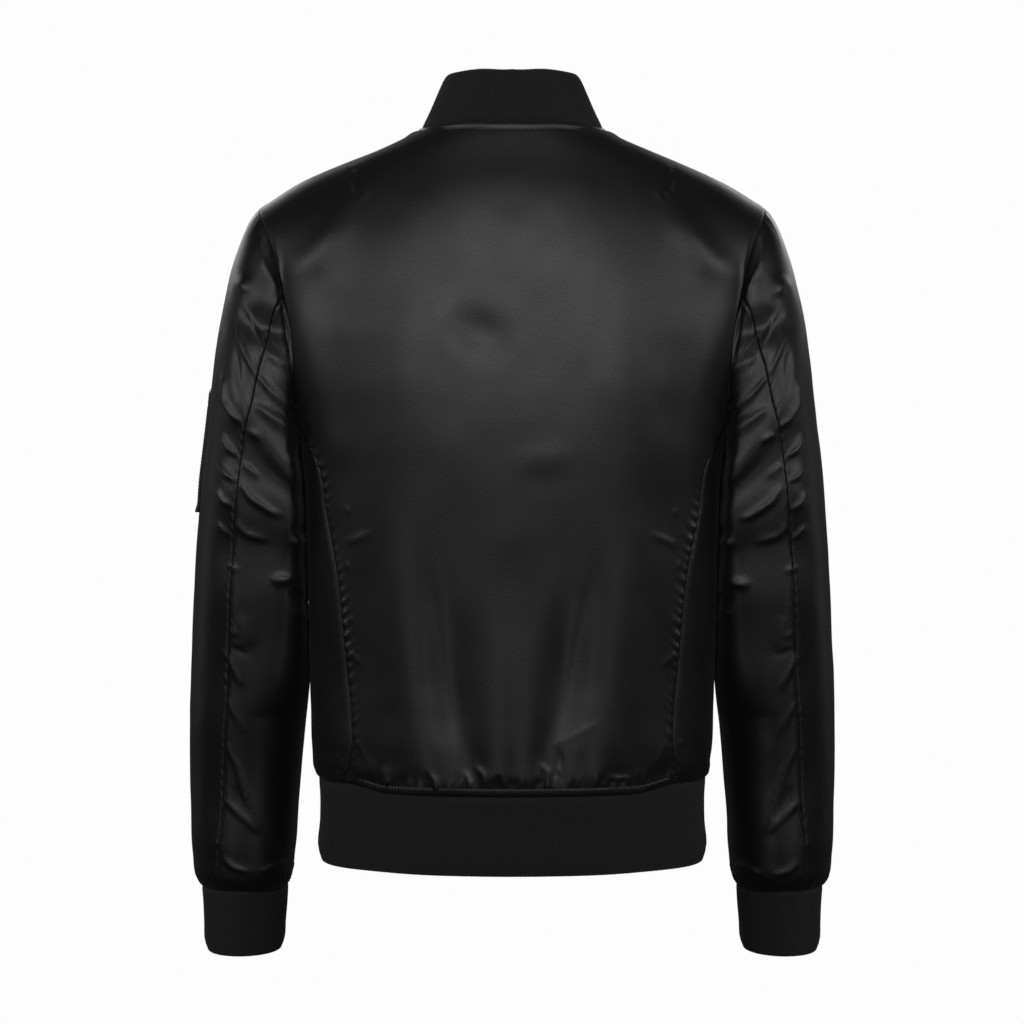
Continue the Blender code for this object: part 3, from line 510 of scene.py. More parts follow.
def spread(place: Grid, line: Grid, spacing: Spacing) -> Grid:
    """Parameter values along a line whose distances follow a spacing.

    The number of grid lines passed grows by one over the spacing, and it is turned round
    to give the place of each whole line.

    Args:
        place: The parameter at each point of the line.
        line: Points of the line.
        spacing: The distances wanted.

    Returns:
        The parameter at each grid line, first and last of the line included.
    """
    length = run_along(line)
    fine_start = eased(1 - length / spacing.reach) * spacing.at_start
    fine_end = eased(1 - (length[-1] - length) / spacing.reach) * spacing.at_end
    step = spacing.coarse + (spacing.fine - spacing.coarse) * np.maximum(fine_start, fine_end)
    passed = np.cumsum(np.diff(length) * (1 / step[1:] + 1 / step[:-1]) / 2)
    passed = np.concatenate([[0], passed])
    lines = np.linspace(0, passed[-1], int(math.ceil(passed[-1])) + 1)
    return np.interp(lines, passed, place)


def mirrored(grid: Grid) -> Grid:
    """The same piece on the wearer's other side, with its columns still anticlockwise."""
    return grid[:, ::-1] * MIRROR


def outward(grid: Grid, is_round: bool = False) -> Grid:
    """Unit vectors out of the cloth: the way down the rows crossed with the way round."""
    if is_round:
        wrapped = np.concatenate([grid[:, -1:], grid, grid[:, :1]], axis=1)
        around = np.gradient(wrapped, axis=1)[:, 1:-1]
    else:
        around = np.gradient(grid, axis=1)
    return unit(np.cross(np.gradient(grid, axis=0), around))


def creased(points: Grid, creases: Sequence[Crease]) -> Grid:
    """How far a set of creases moves each point of the cloth outward, in metres.

    Beside its path a crease has a rounded crest and then falls away as an exponential of
    the distance over its width, or as a bell if it is soft, and it grows shallow towards
    both ends of its path.

    Args:
        points: Points of the cloth; a crease is laid by their X and Z.
        creases: The creases.

    Returns:
        The move of each point.
    """
    x, z = points[..., 0] / MM, points[..., 2] / MM
    moved = np.zeros(x.shape)
    for crease in creases:
        path = np.array(crease.path, float)
        low, high = path.min(axis=0) - 3 * crease.width, path.max(axis=0) + 3 * crease.width
        near = (x > low[0]) & (x < high[0]) & (z > low[1]) & (z < high[1])
        if not near.any():
            continue
        here = np.stack([x[near], z[near]], axis=-1)
        run = run_along(path)
        nearest = np.full(len(here), np.inf)
        share = np.zeros(len(here))
        for start, end, begun in zip(path[:-1], path[1:], run[:-1]):
            way = end - start
            t = np.clip((here - start) @ way / (way @ way), 0, 1)
            apart = np.linalg.norm(here - start - t[:, None] * way, axis=1)
            closer = apart < nearest
            nearest = np.where(closer, apart, nearest)
            share = np.where(closer, (begun + t * np.linalg.norm(way)) / run[-1], share)
        middle = 1 - (2 * share - 1) ** 2
        taper = middle**2 if crease.soft else 0.1 + 0.9 * middle**0.75
        away = nearest / crease.width
        away = away**2 if crease.soft else np.sqrt(1 + (1.9 * away) ** 2) - 1
        moved[near] += crease.depth * MM * taper * np.exp(-away)
    return moved


def shifted(
    creases: Sequence[Crease], dx: float, dz: float, deepen: float
) -> tuple[Crease, ...]:
    """Creases moved by dx and dz mm, each deeper or shallower by its own share of deepen."""
    found = []
    for number, crease in enumerate(creases):
        share = 1 + deepen * math.sin(2.4 * number + 1)
        wander = 1.5 * math.sin(1.7 * number + 0.5)
        path = tuple((x + dx + wander, z + dz - wander) for x, z in crease.path)
        found.append(crease._replace(path=path, depth=crease.depth * share))
    return tuple(found)


def reflected(creases: Sequence[Crease]) -> tuple[Crease, ...]:
    """The same creases on the other side of the middle."""
    paths = (tuple((-x, z) for x, z in crease.path) for crease in creases)
    return tuple(crease._replace(path=path) for crease, path in zip(creases, paths))


# ================================================================ the jacket's form
@dataclass(frozen=True)
class TorsoForm:
    """The smooth form of the body: shoulders, back, fronts and sides."""

    neck_half_width: float = 0.0802
    neck_back_depth: float = 0.0620
    neck_front_depth: float = 0.0850
    neck_power: float = 2.3
    neck_even_share: float = 0.35
    back_neck_columns: int = 4
    front_neck_columns: int = 6
    shoulder_columns: int = 5
    shoulder_reach: float = 0.42
    yoke_step: float = 0.004
    zip_opening: float = 0.0070
    neck_samples: int = 400
    side_columns: int = 6
    underarm_drop: float = -0.0323
    underarm_fade_rows: float = 3.0
    underarm_power: float = 1.3
    armhole_turns: tuple[int, int, int] = (3, 9, 16)
    hem_rise: float = 0.0062
    hem_rise_start: float = 0.103
    hem_rise_reach: float = 0.037

    def inner(self, face: Face) -> float:
        """Where a face's first column starts: the middle, or a front's edge at the zip."""
        return 0.0 if face is Face.BACK else self.zip_opening

    def last_column(self, face: Face) -> int:
        """The number of a face's outermost column."""
        neck = self.back_neck_columns if face is Face.BACK else self.front_neck_columns
        return neck + self.shoulder_columns

    def rise(self, x: Grid) -> Grid:
        """How far the hem seam steps up towards the sides of the body."""
        return self.hem_rise * eased((np.abs(x) - self.hem_rise_start) / self.hem_rise_reach)

    def folds(self, x: Grid, height: Grid) -> Grid:
        """How far the back's broad folds move its surface outward: a bell round each."""
        depth = np.zeros(np.broadcast(x, height).shape)
        for fold in BACK_FOLDS:
            across = (np.abs(x) - fold.x) / fold.reach_x
            down = (height - fold.height) / fold.reach_height
            depth += fold.depth * bell(across, down)
        return depth

    def at(self, x: Grid, height: Grid, face: Face) -> Grid:
        """Points of a face at these widths and heights.

        A level section is a superellipse: depth times the root of one less the width's
        share to a power.

        Args:
            x: How far out from the middle.
            height: Height of each point.
            face: The back or the front.

        Returns:
            The points.
        """
        x, height = np.broadcast_arrays(x, height)
        half_width, back, front, power = through(BODY, height)
        ratio = np.clip(np.abs(x) / half_width, 0, 1)
        depth = (back if face is Face.BACK else front) * superellipse(ratio, power)
        if face is Face.BACK:
            depth = depth + self.folds(x, height) * (1 - ratio**4)
        return np.stack([x, face.value * depth, height], axis=-1)

    def side_x(self, y: Grid, height: Grid) -> Grid:
        """How far out the side of the body lies at this depth and height."""
        half_width, back, front, power = through(BODY, height)
        ratio = np.clip(np.abs(y) / np.where(y > 0, back, front), 0, 1)
        return half_width * superellipse(ratio, power)

    def neck_depth(self, x: Grid, face: Face) -> Grid:
        """How far behind or before the middle the neck opening reaches, x out from it."""
        depth = self.neck_back_depth if face is Face.BACK else self.neck_front_depth
        ratio = np.clip(x / self.neck_half_width, 0, 1)
        return depth * superellipse(ratio, self.neck_power)

    def column_x(self, column: Grid, face: Face) -> Grid:
        """How far out a column starts on the shoulders: eased over the neck, then even."""
        neck = self.last_column(face) - self.shoulder_columns
        inner, turn = self.inner(face), np.clip(column / neck, 0, 1)
        even = self.neck_even_share
        over = even * turn + (1 - even) * np.sin(turn * math.pi / 2)
        over = inner + (self.neck_half_width - inner) * over
        beyond = np.clip(column - neck, 0, None) / self.shoulder_columns
        return over + beyond * (RIDGE[-1].x - self.neck_half_width)

    def half_panel(self, face: Face, rows: Grid, columns: Grid) -> Grid:
        """The left half of the back, or the left front, at fractional rows and columns.

        Above the yoke each column is a cubic from the shoulder ridge, cut off where it
        leaves the neck opening; below it the rows are level sections of the body.

        Args:
            face: The back or the front.
            rows: Row numbers, 0 at the top edge to 16 at the hem seam.
            columns: Column numbers, 0 at the middle.

        Returns:
            Points, one per row and column.
        """
        inner, x = self.inner(face), self.column_x(columns, face)
        height, *pitches = through(RIDGE, x)
        top = np.stack([x, 0 * x, height], axis=1)
        share = (x - inner) / (RIDGE[-1].x - inner)

        def rows_at(heights: Grid) -> Grid:
            """Level rows of the body at these heights."""
            edges = through(PANEL_EDGES, heights)[0 if face is Face.BACK else 1]
            return self.at(inner + (edges[:, None] - inner) * share, heights[:, None], face)

        yoke, below = rows_at(np.array([ROW_HEIGHTS[0], ROW_HEIGHTS[0] - self.yoke_step]))
        chord = np.linalg.norm(yoke - top, axis=1, keepdims=True) * self.shoulder_reach
        pitch = np.radians(pitches[0 if face is Face.BACK else 1])
        leave = np.stack([0 * pitch, face.value * np.cos(pitch), -np.sin(pitch)], axis=1) * chord
        arrive = unit(below - yoke) * chord
        trial = np.linspace(0, 1, self.neck_samples)
        way = curve_between(top, leave, yoke, arrive, np.repeat(trial[:, None], len(x), axis=1))
        outside = face.value * way[..., 1] - self.neck_depth(way[..., 0], face)
        after = np.argmax(outside >= 0, axis=0)
        number = np.arange(len(x))
        before = outside[after - 1, number]
        part = np.where(after > 0, before / (before - outside[after, number] + 1e-12), 0)
        start = np.where(after > 0, trial[after - 1] + part * trial[1], 0)
        upper = rows[rows < YOKE_ROW]
        steps = np.interp(upper, np.arange(len(UPPER_STEPS)), UPPER_STEPS)
        above = curve_between(top, leave, yoke, arrive, start + (1 - start) * steps[:, None])
        lower = np.interp(rows[rows >= YOKE_ROW], np.arange(YOKE_ROW, LAST_ROW + 1), ROW_HEIGHTS)
        return np.concatenate([above, rows_at(lower)])

    def edge(self, face: Face, rows: Grid) -> Grid:
        """Points down a face's outer edge: the armhole, then the side seam."""
        return self.half_panel(face, rows, np.array([float(self.last_column(face))]))[:, 0]

    def side_panel(self, rows: Grid, across: Grid) -> Grid:
        """The left side panel, from the side-front seam (0) round to the side-back seam (1).

        It follows the body's superellipse by its turning angle, its top edge hollowed out
        under the arm, and within its last sixth it is drawn onto its neighbours' edges.

        Args:
            rows: Row numbers, 7 at the armhole to 16 at the hem seam.
            across: Shares of the way round.

        Returns:
            Points, one per row and share.
        """
        level = np.interp(rows, np.arange(YOKE_ROW, LAST_ROW + 1), ROW_HEIGHTS)[:, None]
        fade = np.clip(1 - (rows - ARM_ROW) / self.underarm_fade_rows, 0, 1)[:, None]
        fade = fade**self.underarm_power
        height = level + self.underarm_drop * (1 - (2 * across - 1) ** 2) * fade
        half_width, _, _, power = through(BODY, level)
        back_turn, front_turn = (
            np.arccos(np.clip(x / half_width, 0, 1) ** (power / 2))
            for x in through(PANEL_EDGES, level)
        )

        def at(share: Grid, height: Grid) -> Grid:
            """Points at shares of the way round."""
            half_width, back, front, power = through(BODY, height)
            turn = -front_turn + (back_turn + front_turn) * share
            depth = np.where(turn > 0, back, front)
            x = half_width * np.cos(turn) ** (2 / power)
            y = np.sign(turn) * depth * np.abs(np.sin(turn)) ** (2 / power)
            return np.stack([x, y, height], axis=-1)

        grid = at(across[None, :], height)
        ends = at(np.array([[0.0, 1.0]]), np.repeat(level, 2, axis=1))
        for number, face in enumerate((Face.FRONT, Face.BACK)):
            from_end = across if face is Face.FRONT else 1 - across
            pull = np.clip(1 - from_end * self.side_columns, 0, 1)[None, :, None]
            grid = grid + (self.edge(face, rows) - ends[:, number])[:, None] * pull
        return grid

    def armhole(self, place: Grid) -> Grid:
        """Points of the left armhole.

        Args:
            place: 0 at the sleeve's back seam, down the back to 3, under the arm to 9,
                up the front to 16 at the shoulder's tip, and down the back again to 20.

        Returns:
            The points.
        """
        low, under, tip = self.armhole_turns
        below_arm = np.clip(1 - (place - low) / (under - low), 0, 1)
        return np.select(
            [(place <= end)[:, None] for end in (low, under, tip)],
            [
                self.edge(Face.BACK, np.clip(YOKE_ROW + place, YOKE_ROW, ARM_ROW)),
                self.side_panel(np.array([float(ARM_ROW)]), below_arm)[0],
                self.falling_edge(Face.FRONT, np.clip(tip - place, 0, ARM_ROW)),
            ],
            self.falling_edge(Face.BACK, np.clip(place - tip, 0, YOKE_ROW)),
        )

    def falling_edge(self, face: Face, rows: Grid) -> Grid:
        """Points of a face's outer edge at rows in any order."""
        order = np.argsort(rows, kind="stable")
        points = np.empty((len(rows), 3))
        points[order] = self.edge(face, rows[order])
        return points


@dataclass(frozen=True)
class SleeveForm:
    """The smooth form of the left sleeve, from the armhole to the cuff's seam."""

    torso: TorsoForm = TorsoForm()
    crown_blend: float = 0.30
    clearance: float = 0.0013
    clearance_start: float = -0.2640
    clearance_end: float = -0.2850
    front_seam: float = 10.0
    whole_round: float = 20.0
    inner_back_power: float = 11.0
    lower_back_power: float = 2.4
    fullness_span: tuple[float, float] = (0.50, 0.78)

    def swell(self, along: Grid, angle: Grid) -> Grid:
        """How far the sleeve's broad folds move its surface outward: a bell round each."""
        depth = np.zeros(np.broadcast(along, angle).shape)
        for fold in SLEEVE_FOLDS:
            turned = (angle - math.radians(fold.angle) + math.pi) % (2 * math.pi) - math.pi
            around = turned / math.radians(fold.reach_angle)
            depth += fold.depth * bell((along - fold.along) / fold.reach, around)
        return depth

    def at(self, along: Grid, angle: Grid) -> Grid:
        """Points of the sleeve: an ellipse through each ring's outer and inner points.

        Between the back and the inner side the squares of the ellipse's equation become a
        higher power, which fills that corner. Beside the body the inner side is held just
        clear of it.

        Args:
            along: Share of the way down the sleeve.
            angle: Angle round it, 0 on the outer side and a quarter turn at the back.

        Returns:
            The points.
        """
        along, angle = np.broadcast_arrays(along, angle)
        outer_x, outer_z, inner_x, inner_z, middle_y, half_depth = through(SLEEVE, along)
        swell = 1 + self.swell(along, angle) / half_depth
        across, back = np.cos(angle), np.sin(angle)
        powers = self.inner_back_power, self.lower_back_power
        full = np.interp(along, self.fullness_span, powers)
        power = np.where((across < 0) & (back > 0), full, 2.0)
        swell = swell * (np.abs(across) ** power + np.abs(back) ** power) ** (-1 / power)
        across, back = across * swell, back * swell
        x = between(outer_x, inner_x, across)
        y = middle_y + half_depth * back
        z = between(outer_z, inner_z, across)
        reach = self.clearance_start - self.clearance_end
        below = np.clip((self.clearance_start - z) / reach, 0, 1)
        beside = (self.torso.side_x(y, z) + self.clearance) * below
        return np.stack([np.where(below > 0, np.maximum(x, beside), x), y, z], axis=-1)

    def armhole_angle(self, place: Grid) -> Grid:
        """The angle of each place of the armhole on the sleeve's first ring."""
        dense = np.linspace(0, self.whole_round, 401)
        points = self.torso.armhole(dense)
        _, outer_x, outer_z, inner_x, inner_z, middle_y, half_depth = SLEEVE[0]
        radius = np.array([(outer_x - inner_x) / 2, (outer_z - inner_z) / 2])
        middle = np.array([(outer_x + inner_x) / 2, (outer_z + inner_z) / 2])
        across = (points[:, [0, 2]] - middle) @ radius / (radius @ radius)
        angle = np.unwrap(np.arctan2((points[:, 1] - middle_y) / half_depth, across))
        angle[-1] = angle[0] + 2 * math.pi
        return np.interp(place, dense, angle)

    def surface(self, along: Grid, place: Grid) -> Grid:
        """The sleeve at shares down it and places round it.

        The armhole's own shape and angles ease into the plain rings within the crown.

        Args:
            along: Shares of the way down.
            place: 0 at the back seam, 10 at the front seam, 20 at the back seam again.

        Returns:
            Points, one per share and place.
        """
        start = self.armhole_angle(place)
        back_seam, front_seam = np.radians(through(SLEEVE_SEAMS, along))[:, :, None]
        under = np.clip(place / self.front_seam, 0, 1)
        upper = np.clip(place / self.front_seam - 1, 0, 1)
        even = np.where(
            place <= self.front_seam,
            back_seam + (front_seam - back_seam) * under,
            front_seam + (back_seam + 2 * math.pi - front_seam) * upper,
        )
        settle = eased(along / self.crown_blend)[:, None]
        angles = start * (1 - settle) + even * settle
        own_shape = self.torso.armhole(place) - self.at(np.zeros_like(start), start)
        fade = (np.clip(1 - along / self.crown_blend, 0, 1) ** 2)[:, None, None]
        return self.at(along[:, None], angles) + own_shape * fade


# ================================================================ finishes
def linear(colour: str) -> tuple[float, ...]:
    """An sRGB hex colour as linear red, green, blue and full alpha."""
    shares = (int(colour[place : place + 2], 16) / 255 for place in (1, 3, 5))
    return *(s / 12.92 if s <= 0.04045 else ((s + 0.055) / 1.055) ** 2.4 for s in shares), 1.0


def add_node(tree: Tree, kind: str, inputs: dict | None = None, **settings) -> bpy.types.Node:
    """Adds one node.

    Args:
        tree: The tree that it goes in.
        kind: Blender's name for the node.
        inputs: Value or output socket for each named or numbered input.
        **settings: The node's own settings.

    Returns:
        The node.
    """
    node = tree.nodes.new(kind)
    for key, value in settings.items():
        setattr(node, key, value)
    for key, value in (inputs or {}).items():
        if isinstance(value, Socket):
            tree.links.new(value, node.inputs[key])
        else:
            node.inputs[key].default_value = value
    return node


def blank_material(name: str) -> tuple[Material, Tree]:
    """A material with an empty node tree."""
    material = bpy.data.materials.new(name)
    material.use_nodes = True
    material.node_tree.nodes.clear()
    return material, material.node_tree


class Finish:
    """A real material: two colours mixed by its pattern, and a surface that follows it."""

    name: str
    dark: str
    light: str
    coordinates = "UV"  # the piece's own map, in metres

    def pattern(self, tree: Tree, place: Socket) -> tuple[Socket, dict]:
        """The share of the light colour, and the other inputs of the surface."""
        raise NotImplementedError

    def material(self) -> Material:
        """Builds the material."""
        material, tree = blank_material(self.name)
        place = add_node(tree, "ShaderNodeTexCoord").outputs[self.coordinates]
        share, inputs = self.pattern(tree, place)
        colours = {"Factor": share, "A": linear(self.dark), "B": linear(self.light)}
        colour = add_node(tree, "ShaderNodeMix", colours, data_type="RGBA").outputs["Result"]
        shader = add_node(tree, "ShaderNodeBsdfPrincipled", {"Base Color": colour, **inputs})
        add_node(tree, "ShaderNodeOutputMaterial", {"Surface": shader.outputs[0]})
        return material


@dataclass(frozen=True)
class NylonSatin(Finish):
    """Black nylon satin, woven: long floats give it a soft, broad shine and a faint grain."""

    name: str = "black nylon satin, woven"
    dark: str = "#0a0a0b"
    light: str = "#121214"
    gloss: tuple[float, float] = (0.39, 0.45)
    thread: float = 0.0008  # real threads are 0.1 mm: drawn eight times as coarse, to show
    float_length: float = 0.0013
    slub: float = 0.045
    weave_height: float = 0.00005
    shine: tuple[float, float] = (0.36, 0.66)

    def pattern(self, tree: Tree, place: Socket) -> tuple[Socket, dict]:
        """Threads drawn long by their floats, and broad slubs that change the gloss."""
        scale = (1 / self.thread, 1 / self.float_length, 1)
        threads = add_node(tree, "ShaderNodeMapping", {"Vector": place, "Scale": scale})
        weave = add_node(
            tree, "ShaderNodeTexNoise",
            {"Vector": threads.outputs[0], "Scale": 1.0, "Detail": 2.0, "Roughness": 0.6},
        ).outputs[0]
        slub = add_node(
            tree, "ShaderNodeTexNoise", {"Vector": place, "Scale": 1 / self.slub, "Detail": 3.0}
        )
        gloss, shine = (
            add_node(
                tree, "ShaderNodeMapRange",
                {"Value": value, "From Min": 0.5 - half, "From Max": 0.5 + half,
                 "To Min": ends[0], "To Max": ends[1]},
            ).outputs[0]
            for value, half, ends in ((slub.outputs[0], 0.2, self.gloss), (weave, 0.15, self.shine))
        )
        bump = add_node(
            tree, "ShaderNodeBump",
            {"Height": weave, "Distance": self.weave_height, "Strength": 0.7},
        )
        return weave, {
            "Roughness": gloss, "Specular IOR Level": shine, "Normal": bump.outputs[0],
            "IOR": 1.53, "Sheen Weight": 0.05, "Sheen Roughness": 0.4,
        }


@dataclass(frozen=True)
class KnitRib(Finish):
    """Black rib knit of wool and nylon: matt, with fine wales that swallow the light."""

    name: str = "black rib knit"
    dark: str = "#111112"
    light: str = "#1f1f21"
    roughness: float = 0.95
    stitch: float = 0.0014  # rows of knit stitches
    fuzz: float = 0.0008
    stitch_height: float = 0.00018

    def pattern(self, tree: Tree, place: Socket) -> tuple[Socket, dict]:
        """Rows of stitches under a short fuzz."""
        rows = add_node(
            tree, "ShaderNodeMapping", {"Vector": place, "Scale": (1 / self.stitch,) * 3}
        )
        knit = add_node(
            tree, "ShaderNodeTexWave",
            {"Vector": rows.outputs[0], "Scale": 0.32, "Distortion": 1.5, "Detail": 1.0},
            bands_direction="Y",
        )
        fuzz = add_node(
            tree, "ShaderNodeTexNoise", {"Vector": place, "Scale": 1 / self.fuzz, "Detail": 2.0}
        ).outputs[0]
        height = add_node(
            tree, "ShaderNodeMath", {0: knit.outputs["Fac"], 1: fuzz}, operation="ADD"
        )
        bump = add_node(
            tree, "ShaderNodeBump",
            {"Height": height.outputs[0], "Distance": self.stitch_height, "Strength": 0.5},
        )
        return fuzz, {
            "Roughness": self.roughness, "Normal": bump.outputs[0],
            "Specular IOR Level": 0.25, "Sheen Weight": 0.10, "Sheen Roughness": 0.6,
        }


@dataclass(frozen=True)
class WovenTape(Finish):
    """Black polyester zip tape: a fine herringbone weave, nearly matt."""

    name: str = "black polyester zip tape"
    dark: str = "#101011"
    light: str = "#1d1d1f"
    roughness: float = 0.75
    yarn: float = 0.0011
    slant: float = 0.7  # radians
    yarn_height: float = 0.00008

    def pattern(self, tree: Tree, place: Socket) -> tuple[Socket, dict]:
        """A slanted twill."""
        turned = add_node(
            tree, "ShaderNodeMapping",
            {"Vector": place, "Scale": (1 / self.yarn,) * 3, "Rotation": (0, 0, self.slant)},
        )
        twill = add_node(
            tree, "ShaderNodeTexWave", {"Vector": turned.outputs[0], "Scale": 0.32}
        ).outputs["Fac"]
        bump = add_node(
            tree, "ShaderNodeBump",
            {"Height": twill, "Distance": self.yarn_height, "Strength": 0.6},
        )
        return twill, {"Roughness": self.roughness, "Normal": bump.outputs[0]}


@dataclass(frozen=True)
class GunMetal(Finish):
    """Zip parts of plated zinc, tumbled: dark, bright on the edges, with faint scuffs."""

    name: str = "dark nickel-plated zinc"
    dark: str = "#3a3a3d"
    light: str = "#5d5d61"
    coordinates: str = "Object"
    gloss: tuple[float, float] = (0.25, 0.45)
    scuff: float = 0.0012

    def pattern(self, tree: Tree, place: Socket) -> tuple[Socket, dict]:
        """Scuffs that dull the plating."""
        scuffs = add_node(
            tree, "ShaderNodeTexNoise", {"Vector": place, "Scale": 1 / self.scuff, "Detail": 3.0}
        ).outputs[0]
        gloss = add_node(
            tree, "ShaderNodeMapRange",
            {"Value": scuffs, "To Min": self.gloss[0], "To Max": self.gloss[1]},
        )
        return scuffs, {"Roughness": gloss.outputs[0], "Metallic": 1.0}


@dataclass(frozen=True)
class GlintPaintedThread(Finish):
    """Black polyester sewing thread, its colours painted grey, far lighter than black thread, as a
    painted glint against the satin it crosses.
    """

    name: str = "black polyester thread"
    # painted glint: mid greys stand in for the thread's own black, so the stitches show as pale
    # ticks
    dark: str = "#303033"
    light: str = "#545458"
    coordinates: str = "Object"
    roughness: float = 0.5
    twist: float = 0.0006

    def pattern(self, tree: Tree, place: Socket) -> tuple[Socket, dict]:
        """The turns of the twisted thread."""
        twist = add_node(
            tree, "ShaderNodeTexNoise", {"Vector": place, "Scale": 1 / self.twist, "Detail": 1.0}
        )
        return twist.outputs[0], {"Roughness": self.roughness}


@dataclass(frozen=True)
class Finishes:
    """One material of each kind, made once."""

    satin: Material
    rib: Material
    tape: Material
    metal: Material
    thread: Material

    @classmethod
    def made(cls) -> "Finishes":
        """Builds every material."""
        kinds = (NylonSatin(), KnitRib(), WovenTape(), GunMetal(), GlintPaintedThread())
        return cls(*(kind.material() for kind in kinds))


# ================================================================ meshes
def mesh_object(name: str, points: Grid, corners: Grid, uv: Grid | None, material: Material,
                ends: Sequence[Grid] = ()) -> Piece:
    """An object at the origin from points, four-cornered faces and optional end caps.

    Args:
        name: The piece's name.
        points: One row of three per point.
        corners: One row of four point numbers per face.
        uv: A UV for each corner of each four-cornered face, in metres, or None.
        material: Its finish.
        ends: Rings of point numbers, each closed by one flat face.

    Returns:
        The object, smooth shaded.
    """
    mesh = bpy.data.meshes.new(name)
    loops = np.concatenate([corners.ravel(), *ends])
    sizes = np.array([4] * len(corners) + [len(ring) for ring in ends])
    mesh.vertices.add(len(points))
    mesh.vertices.foreach_set("co", points.astype(np.float32).ravel())
    mesh.loops.add(len(loops))
    mesh.loops.foreach_set("vertex_index", loops.astype(np.int32))
    mesh.polygons.add(len(sizes))
    mesh.polygons.foreach_set("loop_start", (np.cumsum(sizes) - sizes).astype(np.int32))
    mesh.polygons.foreach_set("loop_total", sizes.astype(np.int32))
    if uv is not None:
        flat = np.zeros((len(loops), 2), np.float32)
        flat[: corners.size] = uv.reshape(-1, 2)
        mesh.uv_layers.new(name="cloth").data.foreach_set("uv", flat.ravel())
    mesh.update(calc_edges=True)
    mesh.validate()
    mesh.shade_smooth()
    mesh.materials.append(material)
    piece = bpy.data.objects.new(name, mesh)
    bpy.context.scene.collection.objects.link(piece)
    return piece


def grid_object(name: str, grid: Grid, material: Material, closed_rows: bool = False,
                closed_columns: bool = False, capped: bool = False) -> Piece:
    """A grid of points made into a piece, with its UV map laid out in metres of cloth.

    Args:
        name: The piece's name.
        grid: Points by row and column.
        material: Its finish.
        closed_rows: Whether the last row joins the first.
        closed_columns: Whether the last column joins the first.
        capped: Whether the first and last columns are each closed by a face.

    Returns:
        The object.
    """

    def wrapped(values: Grid) -> Grid:
        """Values with the first row and column repeated where the grid joins itself."""
        if closed_rows:
            values = np.concatenate([values, values[:1]], axis=0)
        return np.concatenate([values, values[:, :1]], axis=1) if closed_columns else values

    def cells(values: Grid) -> Grid:
        """The four corners of each cell, in the order that faces outward."""
        corner = (values[:-1, :-1], values[1:, :-1], values[1:, 1:], values[:-1, 1:])
        return np.stack(corner, axis=2).reshape(-1, 4, *values.shape[2:])

    u, v = running_length(wrapped(grid), 1), running_length(wrapped(grid), 0)
    uv = np.stack([u - u.mean(axis=1, keepdims=True), -v], axis=-1)
    number = wrapped(np.arange(grid[..., 0].size).reshape(grid.shape[:2]))
    ends = (number[:-1, 0], number[:-1, -1][::-1]) if capped else ()
    return mesh_object(name, grid.reshape(-1, 3), cells(number), cells(uv), material, ends)


def rods(points: Grid) -> tuple[Grid, Grid]:
    """Numbers the points of many rods (by rod, ring and turn) and walls each between its rings.

    Returns:
        The numbers by rod, ring and turn, and one row of four numbers per wall.
    """
    number = np.arange(points[..., 0].size).reshape(points.shape[:3])
    after = np.roll(number, -1, axis=2)
    walls = np.stack([number[:, :-1], after[:, :-1], after[:, 1:], number[:, 1:]], axis=-1)
    return number, walls.reshape(-1, 4)


class Stitch(NamedTuple):
    """A stitch, a short lens of thread: the distance between two, its length and its radius."""

    pitch: float
    length: float
    radius: float


class Pulls(NamedTuple):
    """Small pulls beside a seam: their pitch along it, height, and distance of the crest."""

    pitch: float
    height: float
    reach: float


class Scallops(NamedTuple):
    """Uneven scallops above the hem: pitch, depth, height above its seam, and reach."""

    pitch: float
    depth: float
    height: float
    reach: float


class Cut(NamedTuple):
    """The flat piece of cloth that a part of the jacket is cut from, in metres."""

    width: float
    length: float
    area: float


